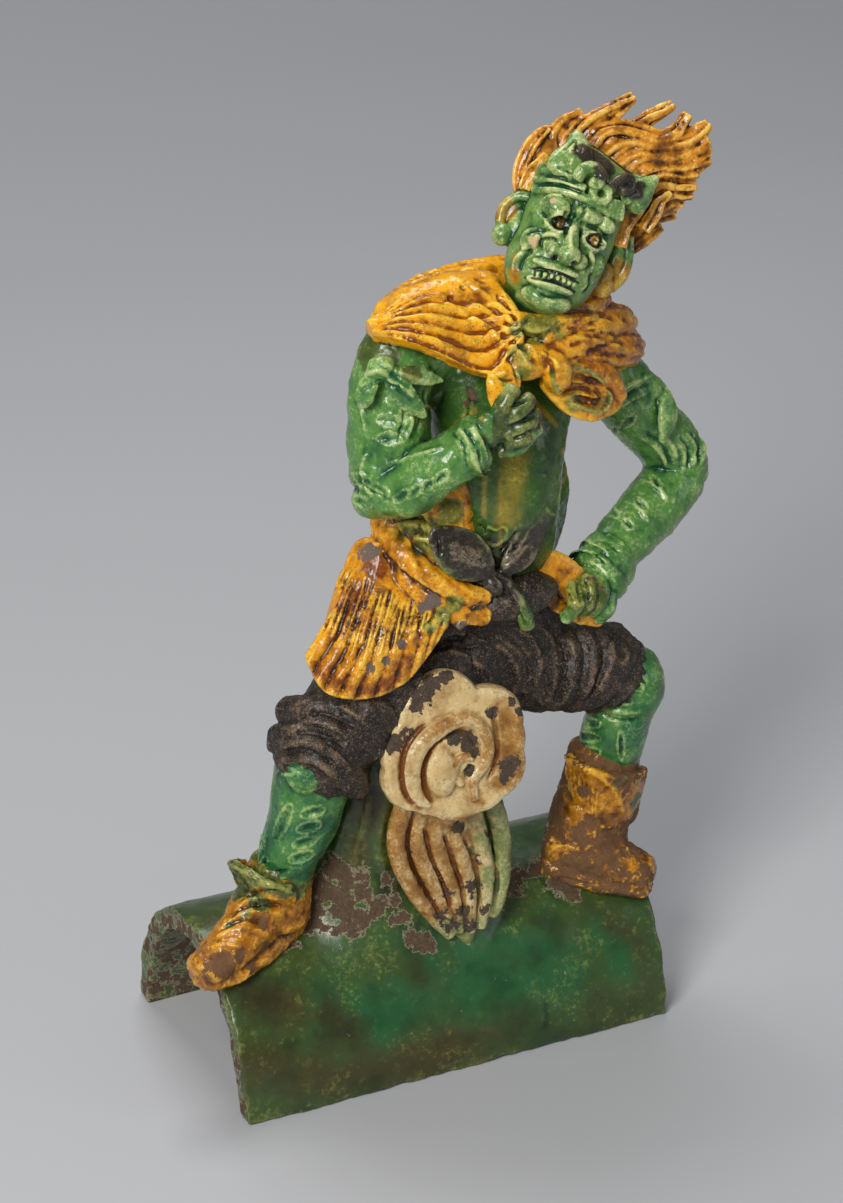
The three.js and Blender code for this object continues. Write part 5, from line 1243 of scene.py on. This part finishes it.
SLEEVE_PETALS += [(612, 432, 9, 4.5, -35), (628, 422, 9, 4.5, -35), (612, 512, 9, 4.5, 35),
                  (628, 524, 8, 4, 40), (641, 504, 9, 4.5, 40), (656, 482, 8, 4, 60)]
arms.ovals(SLEEVE_PETALS, 0.8, 0.7)
HAND_DARK = [((505, 405), (520, 400)), ((500, 425), (525, 420)), ((500, 438), (520, 436)),
             ((488, 430), (494, 446))]
HAND_BAND = 15
arms.stains("second", [(line, HAND_BAND, 1.0) for line in HAND_DARK])
arms.mark("second")[:] *= smoothstep(-arms.v[:, 1], 78, 86) * smoothstep(arms.v[:, 0], 26, 34)
# Painted shade on the upper sleeve, laid in the hand's dark green.
SHADED = [(366, 345, 13, 0.9), (388, 352, 11, 0.8), (368, 362, 9, 0.6), (412, 372, 9, 0.8),
          (350, 392, 6, 0.5), (418, 420, 7, 0.6)]
arms.blots("second", SHADED)
# Painted shade round both fists, in an olive tone.
FIST_SHADE = [(583, 592, 22, 0.75), (592, 600, 20, 0.7), (482, 418, 7, 0.6), (484, 440, 6, 0.5)]
arms.blots("third", FIST_SHADE)
FINGER_TIPS = [(536, 402, 4, 0.8), (540, 414, 4, 0.75), (538, 427, 4, 0.75), (530, 438, 3, 0.7)]
KNUCKLES = [(570, 572, 2, 0.9), (577, 570, 2, 0.9), (583, 572, 2, 0.9), (588, 579, 2, 0.9),
            (595, 579, 2, 0.9), (601, 588, 2, 0.9)]
arms.blots("bare", FINGER_TIPS + KNUCKLES)
SLEEVE_GREEN = ((0.50, 0.64, 0.24), (0.105, 0.28, 0.055), (0.008, 0.080, 0.030))
HAND_GREEN_AND_SHADE = ((0.30, 0.32, 0.09), (0.075, 0.115, 0.024), (0.010, 0.028, 0.010))
FIST_SHADE_OLIVE = ((0.46, 0.44, 0.10), (0.12, 0.17, 0.025), (0.018, 0.034, 0.007))
sleeve_glaze = paint("sleeve_glaze", SLEEVE_GREEN, HAND_GREEN_AND_SHADE, FIST_SHADE_OLIVE,
                     clay=((0.26, 0.17, 0.10), (0.10, 0.06, 0.04)), mottle=50, specks=0.5, shine=0.17,
                     dapple=0.4)
arms.finish("arms_and_hands", sleeve_glaze, keep=0.44)

# Scarf: a heavy cloth pleated over the shoulders and knotted under the chin, in bright amber with
# a dark pitted skin where the glaze ran thick.
CAPE_HIGH = [[-34, -10, 486], [2, -4, 497], [26, 8, 501], [46, 14, 503], [66, 10, 503], [76, -10, 497],
             [76, -44, 488]]
CAPE_LOW = [[-33, -20, 480], [-22, -42, 482], [0, -58, 474], [30, -64, 456], [46, -68, 452], [56, -68, 462],
            [70, -66, 474]]
CAPE_OUT = (-0.25, -0.6, 0.75)
PLEATS = 7


def pleats(u, v):
    swell = 12 * np.sin(np.pi * u) * np.sin(np.pi * np.clip(v, 0.05, 0.95))
    return swell + 9.0 * (np.abs(np.sin(PLEATS * np.pi * (u + 0.10 * v + 0.02 * np.sin(9 * v)))) ** 0.6
                          - 0.55)


SHOULDER = [[0, -6, 482, 24, 22], [34, -8, 484, 30, 24], [66, -14, 482, 30, 24]]
RIGHT_SHOULDER = [[148, 10, 456, 24, 22], [166, 6, 444, 25, 24], [182, 4, 430, 21, 22]]
RIGHT_ROLLS = [[[88, -56, 470, 13], [118, -44, 476, 15], [146, -26, 478, 15], [160, 0, 472, 14],
                [156, 26, 468, 12]], [[96, -60, 456, 14], [128, -46, 460, 16], [160, -26, 456, 16],
                                      [182, -6, 444, 16], [188, 12, 438, 13]],
               [[104, -58, 444, 12], [136, -46, 444, 15], [166, -32, 436, 15], [186, -16, 428, 14],
                [196, -6, 424, 10]], [[-4, 10, 476, 16, 15], [28, 30, 478, 18, 14], [70, 40, 480, 18, 14],
                                      [118, 42, 476, 18, 14], [154, 32, 460, 17, 14],
                                      [180, 16, 438, 16, 14]]]
KNOT = [lump((74, -70, 460), (18, 13, 15)), roll([[86, -72, 462, 9], [92, -78, 452, 12, 11],
                                                  [96, -74, 438, 10, 9]]), leaf((58, -70, 462),
                                                                                (38, -80, 434), 13, 9,
                                                                                (-0.3, -0.9, 0.2)),
        leaf((88, -64, 440), (158, -56, 402), 22, 10, (0.2, -0.9, 0.3)),
        roll([[96, -62, 436, 8], [124, -64, 440, 8], [148, -60, 428, 8], [158, -56, 408, 7]]),
        roll([[72, -52, 486, 8], [90, -56, 480, 9], [112, -50, 484, 9], [134, -34, 496, 8]])]
cape = sheet(between(CAPE_HIGH, CAPE_LOW, CAPE_OUT, relief=pleats), 12, across=140, down=130, out=CAPE_OUT)
right_rolls = [roll(line, relief=twist(9, 3.0, 1.5)) for line in RIGHT_ROLLS]
scarf = Clay([cape, roll(SHOULDER)] + right_rolls + [roll(RIGHT_SHOULDER)] + KNOT, 1.15, soften=1)
scarf.v += scarf.n * (0.6 * waves(scarf.v, 24, 101) + 0.35 * waves(scarf.v, 8, 102))[:, None]
SCARF_FOLDS = [((560, 320), (585, 318), (612, 322)), ((562, 335), (592, 340), (625, 348)),
               ((566, 350), (598, 358), (632, 362)), ((556, 308), (580, 304), (605, 308)),
               ((508, 345), (520, 352), (530, 368)), ((515, 340), (528, 346), (540, 360)),
               ((540, 352), (556, 362), (558, 380)), ((484, 372), (496, 376), (508, 372)),
               ((552, 390), (575, 380), (600, 388)), ((556, 400), (580, 395), (606, 400)),
               ((520, 326), (535, 331), (552, 326)), ((522, 336), (536, 340), (552, 334))]
CAPE_FOLDS = [((452, 262), (478, 272), (504, 296), (518, 318)),
              ((436, 268), (468, 282), (498, 306), (516, 328)),
              ((420, 278), (456, 293), (492, 316), (513, 338)),
              ((404, 288), (444, 304), (484, 326), (508, 348))]
CAPE_GAPS = [((444, 264), (473, 277), (501, 301), (517, 323)),
             ((428, 272), (462, 287), (495, 311), (514, 333)),
             ((412, 283), (450, 298), (488, 321), (511, 343))]
scarf.draw(CAPE_FOLDS, 2.4, 2.6)
scarf.draw(CAPE_GAPS, 1.5, -3.4)
scarf.draw(SCARF_FOLDS, 1.9, 2.2)
SCARF_GAPS = [((562, 328), (590, 330), (620, 336)), ((564, 343), (596, 350), (628, 356)),
              ((512, 342), (524, 350), (536, 364)), ((548, 356), (552, 370), (548, 386)),
              ((588, 378), (588, 400), (588, 418)), ((554, 395), (578, 388), (604, 394)),
              ((490, 372), (502, 380), (515, 380)), ((558, 314), (582, 311), (608, 315)),
              ((500, 352), (512, 364), (518, 384)), ((530, 318), (520, 330), (512, 342))]
LOOP = ((552, 372), (574, 367), (598, 377), (610, 396), (602, 411), (580, 407), (558, 392), (552, 372))
LOOP_INSIDE = ((562, 378), (580, 376), (597, 386), (601, 400), (586, 401), (566, 389))
scarf.draw([LOOP], 1.9, 2.4)
scarf.draw([LOOP_INSIDE], 2.6, -3.2)
scarf.stains("third", [(LOOP, 3.0, 0.9)])
scarf.draw(SCARF_GAPS, 1.2, -2.0)
SCARF_MOSS = [(572, 300, 10, 0.7), (590, 312, 9, 0.5), (560, 332, 8, 0.6), (522, 372, 8, 0.7),
              (544, 402, 9, 0.6), (520, 354, 12, 0.6), (528, 367, 9, 0.5), (533, 330, 13, 1.0),
              (548, 322, 9, 0.8), (518, 328, 8, 0.8), (505, 380, 7, 0.5), (575, 402, 11, 0.6),
              (600, 400, 9, 0.5), (556, 408, 9, 0.6)]
scarf.blots("third", SCARF_MOSS)
right_side = smoothstep(scarf.v[:, 0], 96, 130)
scarf.mark("second")[:] = np.clip(0.55 * right_side + 0.4 * waves(scarf.v, 34, 103), 0, 1)
SCARF_AMBER = ((1.0, 0.60, 0.05), (1.0, 0.43, 0.008), (0.26, 0.070, 0.003))
SCARF_RUST = ((0.86, 0.40, 0.02), (0.56, 0.17, 0.004), (0.11, 0.028, 0.003))
scarf_glaze = paint("scarf_glaze", SCARF_AMBER, SCARF_RUST, MOSS, mottle=60, specks=0.9, veins=0.9,
                    shine=0.13)
scarf.finish("scarf", scarf_glaze, keep=0.5)

# Head, ears and hat: a scowling face with bulging brows, flared nose and bared teeth under a low
# hat with curled ornaments, in pale green glaze with deeper green in the hollows, partly painted
# shade, and dark painted shade round the eyes, in the nostrils and along the gums.
HEAD_MIDDLE = np.array([124.0, -30.0, 536.0])
HEAD_UP = unit((0.461, 0.17, 0.871))
HEAD_OUT = unit((-0.32, -0.884, 0.342))
HEAD_OUT = unit(HEAD_OUT - HEAD_UP * (HEAD_OUT @ HEAD_UP))
HEAD_SIDE = np.cross(HEAD_UP, HEAD_OUT)
HEAD_AXES = [HEAD_SIDE, HEAD_UP, HEAD_OUT]


def on_head(s, u, n):
    """Points of the head's own frame: aside towards the right of the picture, up, and out of the face."""
    spot = np.multiply.outer(s, HEAD_SIDE) + np.multiply.outer(u, HEAD_UP) + np.multiply.outer(n, HEAD_OUT)
    return HEAD_MIDDLE + spot


def head_roll(stations, **extra):
    settings = dict(place=on_head, front=HEAD_OUT, step=1.2, sides=24)
    settings.update(extra)
    return roll(stations, **settings)


def head_lump(s, u, n, *radii):
    return lump(on_head(s, u, n), radii, HEAD_AXES, sides=24, rings=14)


SKULL = [[-3, -51, 12, 21, 18], [-3, -43, 10, 31, 27], [-3, -26, 6, 36.5, 34], [-1, -6, 1, 36.5, 39],
         [0, 16, -2, 37, 40], [0, 34, -5, 37, 40]]
FEATURES = [(-18, 18, 34, 12, 9, 12), (5, 21, 36, 11, 7, 9), (21, 18, 30, 8, 7, 9),
            (-27, -11, 26, 9, 10, 9), (23, -12, 23, 9, 10, 9), (0, -12, 50, 9, 8, 8),
            (-11.5, -12, 43, 6.5, 6, 7), (10.5, -14, 42, 6, 6, 7), (-4, -24, 35, 19, 5, 7),
            (-4, -38, 34, 19, 5, 8), (-2, -48, 27, 20, 10, 13)]
BRIDGE = [[-3, 14, 38, 4], [-2, 4, 42, 5], [-1, -6, 46, 6.5]]
LEFT_EAR = [[-37, 19, -2, 4], [-44, 17, -4, 4], [-51, 8, -5, 4], [-51, -4, -4, 4], [-46, -11, -2, 4]]
RIGHT_EAR = [[46, 16, -8, 4.5], [50, 5, -8, 4.5], [52, -5, -8, 4.5], [51, -15, -7, 4.5], [46, -24, -5, 4.5]]
LOBES = [(-42, 3, -9, 10, 18, 8), (-38, -6, -4, 8, 16, 10), (43, -6, -11, 9, 23, 9),
         (36, -20, -4, 9, 14, 10), (-46, 3, -7, 7, 13, 5), (-46, -14, -1, 8.5, 9, 9),
         (45, -4, -9, 7, 17, 6), (40, -25, -3, 8, 9, 8)]
MOUTH_MIDDLE, MOUTH_WIDE = (-3, -31.0), 34.0
MOUTH_TILT, MOUTH_DROOP = 2, 9
TEETH_OUT, TOOTH = 38.5, (2.5, 2.9, 3.2)
teeth = np.linspace(-0.5, 0.5, 8)
HAT = [[0, 26, -5, 38, 40], [0, 36, -6, 39.5, 41], [0, 45, -7, 39, 40]]
BANDS = [[(-36, 26, 10), (-23, 30, 31), (-10, 32, 38), (1, 31, 39), (14, 29, 37), (28, 27, 29)],
         [(-37, 33, 8), (-26, 37, 27), (-14, 38, 36), (-5, 37, 38)],
         [(-34, 41, 14), (-23, 42, 29), (-12, 40, 36), (-5, 38, 38)]]
PEAK_LEFT = [[-20, 44, 29, 17, 9], [-18, 54, 26, 17, 7], [-18, 64, 22, 12, 6], [-20, 72, 18, 7, 5],
             [-21, 77, 15, 3, 3]]
PEAK_RIGHT = [[34, 42, 22, 13, 10], [39, 52, 18, 11, 8], [44, 60, 16, 6, 6], [47, 65, 15, 3, 3]]
REAR_RIM = [[-22, 72, 12, 4], [-8, 69, 4, 4], [10, 64, 2, 4], [29, 59, 6, 4], [44, 60, 12, 4]]
HAT_FLOOR = [[-20, 58, 15, 10, 11], [-5, 57, 10, 13, 13], [12, 53, 11, 12, 13], [30, 50, 13, 9, 11]]
REAR_WALL = [[-26, 50, 4, 6, 14], [0, 54, -14, 7, 16], [28, 50, -6, 7, 14]]
CURLS = [[[-13, 44, 42, 5], [-10, 52, 42, 5], [-3, 55, 41, 5], [4, 51, 42, 4.5], [3, 45, 44, 4.5],
          [-2, 45, 45, 4]], [[14, 46, 39, 4.5], [18, 53, 37, 4.5], [25, 56, 34, 4.5], [28, 50, 35, 4.5],
                             [22, 46, 39, 4]], [[28, 42, 31, 5], [34, 47, 27, 5], [38, 41, 25, 5]]]
RING = [[8 + 6 * math.cos(a), 39 + 6 * math.sin(a), 41, 3.4] for a in np.linspace(0, 2 * math.pi, 13)]
TASSEL = [[[16 + 3.4 * k, 38, 37 - k, 2.3], [18 + 3.4 * k, 32, 37.5 - k, 2.3],
           [20 + 3.4 * k, 26, 35 - k, 1.8]] for k in range(4)]


def mouth(t, rise=0.0):
    """The bowed line of the teeth, aside and up, for t from -0.5 to 0.5."""
    return (MOUTH_MIDDLE[0] + MOUTH_WIDE * t,
            MOUTH_MIDDLE[1] + MOUTH_TILT * t - MOUTH_DROOP * t * t + rise)


face_parts = [head_roll(SKULL, sides=64), head_roll(BRIDGE), head_roll(LEFT_EAR), head_roll(RIGHT_EAR),
              head_roll(HAT, sides=64, dome=0.1)]
face_parts += [head_lump(*f) for f in FEATURES + LOBES]
face_parts += [head_lump(*mouth(t), TEETH_OUT - MOUTH_WIDE * t * t, *TOOTH) for t in teeth]
face_parts += [head_roll([[*p, 3.6] for p in band]) for band in BANDS]
face_parts += [head_roll(p) for p in (PEAK_LEFT, PEAK_RIGHT, REAR_RIM, REAR_WALL, HAT_FLOOR, RING)]
HAT_KNOBS = [(-26, 48, 32, 5, 5, 5), (12, 33, 40, 4, 3, 3)]
face_parts += [head_roll(c) for c in CURLS + TASSEL] + [head_lump(*knob) for knob in HAT_KNOBS]
head = Clay(face_parts, 0.85, soften=2)


def on_face(*spots):
    """Points on the modelled face at spots (aside, up) of its own frame."""
    hits = [head.hit(on_head(s, u, 90.0), -HEAD_OUT) for s, u in spots]
    return [h for h in hits if h is not None]


def carve(lines, width, height):
    for line in lines:
        head.press(on_face(*line), width, height)
    head.normals()


EYES = ((-12.5, 8.5, 10.0), (17.5, 5.0, 9.0))
for s, u, half in EYES:
    carve([((s - half, u), (s, u), (s + half, u))], 5.4, -5.0)
    carve([((s - 1, u), (s + 1, u))], 4.4, 4.6)
    lids = [((s - half - 2, u - 1), (s - half / 2, u + 6.2), (s + half / 3, u + 6), (s + half + 1, u - 1)),
            ((s - half - 2, u - 1), (s - half / 2, u - 6), (s + half / 3, u - 6.5), (s + half + 1, u - 1))]
    carve(lids, 1.5, 2.2)
    ball = [(s + 4.4 * math.cos(a), u + 4.0 * math.sin(a)) for a in np.linspace(0, 2 * math.pi, 15)]
    carve([ball], 0.9, -1.5)
    carve([((s - 0.3, u), (s + 0.3, u))], 1.1, -1.4)
CREASES = [((-9, 27), (-8, 20), (-6, 12)), ((-2, 13), (0, 22), (-2, 28)),
           ((-31, 14), (-24, 10), (-12, 16), (-5, 13)), ((5, 13), (15, 13), (28, 8)),
           ((-18, -17), (-21, -8), (-13, -4), (-7, -5)), ((15, -6), (18, -14), (12, -21)),
           ((-25, -17), (-29, -26), (-28, -36)), ((22, -19), (26, -28), (23, -36)),
           ((-20, 0), (-30, -4), (-33, -10)), ((-7, 12), (-6, 2), (-7, -6)), ((4, 11), (4, 1), (6, -6)),
           ((-22, -45), (-4, -46), (14, -42))]
carve(CREASES, 1.7, -2.8)
RAISED = [((-30, 17), (-24, 25), (-14, 27), (-9, 23)), ((8, 17), (17, 22), (27, 18)),
          ((-22, -19), (-25, -9), (-15, -1), (-8, -3)), ((14, -3), (21, -10), (21, -20)),
          ((-4, 10), (-3, 0), (-1, -8)), ((-31, -16), (-33, -28), (-30, -40))]
carve(RAISED, 1.9, 2.4)
NOSTRILS = ((-8.5, -16.5), (5.0, -16.5))
for s, u in NOSTRILS:
    carve([((s - 1.5, u + 0.5), (s + 1.5, u - 0.5))], 1.9, -4.2)
UPPER_GUM, LOWER_GUM, HALF_TOOTH = 3.7, -3.6, 3.2
GUMS = [tuple(mouth(t, rise) for t in np.linspace(-0.58, 0.56, 9)) for rise in (UPPER_GUM, LOWER_GUM)]
carve(GUMS, 1.2, -2.8)
TOOTH_GAPS = [[mouth(t, rise) for rise in (HALF_TOOTH, 0.0, -HALF_TOOTH)]
              for t in (teeth[:-1] + teeth[1:]) / 2]
carve(TOOTH_GAPS, 0.8, -2.6)
HAT_CREASES = [((-36, 29), (-24, 34), (-10, 35), (2, 35)), ((-34, 37), (-22, 40), (-10, 39)),
               ((-30, 46), (-20, 46), (-12, 45)), ((-28, 60), (-22, 70), (-18, 62)),
               ((16, 41), (24, 40), (30, 34))]
carve(HAT_CREASES, 1.3, -2.4)
HAT_PITS = ((-24, 62), (-15, 65), (-21, 54))
for s, u in HAT_PITS:
    carve([((s - 0.5, u), (s + 0.5, u))], 2.0, -3.0)
# Painted shade: a dark ring round each eye and dark nostrils, in the hat's dark tone.
EYE_SHADE, EYE_WHITE, PUPIL, NOSTRIL_SHADE = 6.72, 3.6, 1.1, 3.0
eye_spots = on_face(*[(s, u) for s, u, _ in EYES])
for spot in eye_spots:
    head.blot("third", spot, EYE_SHADE, 1.0)
for spot in on_face(*NOSTRILS):
    head.blot("third", spot, NOSTRIL_SHADE, 1.0)
for spot in eye_spots:
    head.blot("third", spot, EYE_WHITE, -1.0)
    head.blot("second", spot, EYE_WHITE, 1.0)
    head.blot("third", spot, PUPIL, 1.0)
# Painted shade along the gums above and below the teeth.
for line in GUMS:
    head.stain("third", on_face(*line), 1.3, 0.9)
FLESH = [(-27, -11, 5.5), (-24, 22, 3)]
for s, u, size in FLESH:
    for spot in on_face((s, u)):
        head.blot("bare", spot, size, 0.75)
FLOOR_LINES = [((-8, 60), (4, 57), (18, 54), (32, 52)), ((-6, 66), (8, 61), (22, 57), (34, 54)),
               ((2, 54), (12, 51), (22, 50)), ((-16, 64), (-6, 63)), ((0, 70), (14, 65), (26, 61)),
               ((24, 47), (36, 50))]
for line in FLOOR_LINES:
    head.stain("third", on_face(*line), 7.5, 1.0)
# Amber that ran from the hair over ears and jaw: aside, up, out, radius and strength.
AMBER_SPOTS = [(41, -30, 0.0, 15, 0.9), (47, -12, 0.0, 14, 0.7), (-50, 4, 0.0, 12, 0.6),
               (-30, -40, 22.0, 8, 0.7), (-33, -28, 22.0, 6, 0.5)]
for s, u, n, size, amount in AMBER_SPOTS:
    head.blot("second", on_head(s, u, n), size, amount)
FACE_GREEN = ((0.70, 0.76, 0.33), (0.15, 0.30, 0.070), (0.008, 0.062, 0.022))
EAR_AMBER = ((0.80, 0.56, 0.10), (0.44, 0.24, 0.025), (0.12, 0.050, 0.006))
HAT_DARK_AND_SHADE = ((0.13, 0.10, 0.06), (0.035, 0.030, 0.018), (0.009, 0.008, 0.006))
face_glaze = paint("face_glaze", FACE_GREEN, EAR_AMBER, HAT_DARK_AND_SHADE,
                   clay=((0.88, 0.68, 0.38), (0.62, 0.42, 0.20)), mottle=70, specks=0.25, shine=0.16)
head.finish("head_and_hat", face_glaze, keep=0.55)

# Hair: long locks swept up and back like flames. Each is a bundle of clay strands laid side by
# side over a core and drawn to a hooked tip, in amber with brown between the strands, partly
# painted shade.
# Each lock: how far out of the face it lies, half its breadth, and its path aside and up.
LOCKS = [(-16, 7, [(-38, 7), (-42, 21), (-47, 37), (-46, 56), (-41, 69), (-38, 73)]),
         (-4, 6, [(-42, 24), (-41, 35), (-38, 45), (-36, 54)]),
         (-20, 9, [(-27, 58), (-31, 70), (-27, 83), (-19, 93)]),
         (-20, 10, [(-18, 66), (-11, 84), (-1, 98), (8, 109), (15, 117)]),
         (-22, 8, [(12, 80), (26, 98), (32, 107), (40, 115), (46, 122)]),
         (-16, 9, [(-3, 72), (2, 84), (14, 91), (29, 93), (45, 94), (54, 103), (58, 119)]),
         (-16, 9, [(7, 68), (15, 80), (27, 87), (47, 91), (63, 101), (72, 112), (75, 118)]),
         (-14, 9, [(19, 64), (26, 75), (35, 82), (51, 84), (64, 91), (73, 99), (78, 107)]),
         (-14, 9, [(29, 60), (36, 73), (50, 81), (66, 86), (77, 96), (84, 99)]),
         (-14, 8, [(39, 60), (49, 70), (64, 75), (76, 83), (86, 92)]),
         (-14, 7, [(46, 60), (58, 69), (71, 73), (81, 79)]),
         (-12, 7, [(49, 54), (57, 62), (68, 65), (82, 70)]),
         (-14, 7, [(56, 46), (67, 58), (75, 61), (82, 63)]),
         (-18, 8, [(50, 30), (61, 43), (66, 50), (73, 54), (78, 53)]),
         (2, 6, [(41, 8), (39, 24), (43, 38), (49, 50)]), (-4, 6, [(54, 26), (57, 39), (58, 49), (64, 59)]),
         (-40, 12, [(-26, 20), (-30, 44), (-22, 66), (-8, 82), (8, 92)]),
         (-44, 12, [(-10, 10), (-6, 40), (8, 62), (28, 78), (48, 88)]),
         (-46, 12, [(8, 4), (18, 30), (34, 50), (54, 64), (74, 72)]),
         (-42, 12, [(26, -2), (36, 18), (50, 34), (66, 44), (78, 48)]),
         (-34, 10, [(38, -8), (48, 8), (60, 24), (70, 34)])]
STRANDS = 4


def lock(index, depth, half, path):
    """A bundle of strands along a path of the head's frame, drawn to one tip."""
    points = curve(np.array([(s, u) for s, u in path], float), 24)
    along = np.gradient(points, axis=0)
    along /= np.linalg.norm(along, axis=1)[:, None]
    t = np.linspace(0, 1, 24)
    spread = np.clip(1.04 - 0.55 * t ** 3, 0.4, 1)
    core = [[*p, depth - 0.75 * half, max(1.0, 0.62 * half * w)] for p, w in zip(points[::3], spread[::3])]
    rows = [head_roll(core, sides=20)]
    for k in range(STRANDS):
        place = (k + 0.5) / STRANDS * 2 - 1
        sway = 0.10 * half * np.sin(5 * t + 1.7 * k + index)
        offset = place * half * 0.85 * spread + sway
        raised = depth + half * (0.6 - 0.6 * place ** 2) * spread + 1.6 * math.sin(2.1 * k + index)
        thick = half * 0.27 * np.clip(spread, 0.62, 1) * (1 + 0.18 * math.sin(3 * k + index))
        side = np.stack([points[:, 0] - along[:, 1] * offset, points[:, 1] + along[:, 0] * offset], 1)
        rows.append(head_roll(np.column_stack([side, raised, thick]).tolist(), sides=16, step=1.4))
    return rows


HAIR_CORE = [(0, 26, -22, 36, 42, 30), (-35, 40, -20, 10, 30, 14), (6, 62, -26, 30, 28, 16)]
hair_parts = [head_lump(*core) for core in HAIR_CORE]
for index, (depth, half, path) in enumerate(LOCKS):
    hair_parts += lock(index, depth, half, path)
hair = Clay(hair_parts, 0.95, soften=1)
hair.v += hair.n * (0.3 * waves(hair.v, 16, 111) + 0.2 * waves(hair.v, 6, 112))[:, None]
aside = (hair.v - HEAD_MIDDLE) @ HEAD_SIDE
hair.mark("second")[:] = np.clip(0.45 * waves(hair.v, 34, 113) + 0.5 * smoothstep(aside, 10, 60), 0, 1)
low = smoothstep(-((hair.v - HEAD_MIDDLE) @ HEAD_UP), -30, -12)
hair.mark("third")[:] = smoothstep(-aside, 26, 34) * low * 0.8
HAIR_AMBER = ((1.0, 0.66, 0.14), (0.76, 0.28, 0.014), (0.036, 0.010, 0.002))
HAIR_BROWN = ((0.90, 0.46, 0.07), (0.30, 0.10, 0.008), (0.026, 0.009, 0.002))
hair_glaze = paint("hair_glaze", HAIR_AMBER, HAIR_BROWN, MOSS, mottle=60, specks=0.5, shine=0.14)
hair.finish("hair", hair_glaze, keep=0.44)
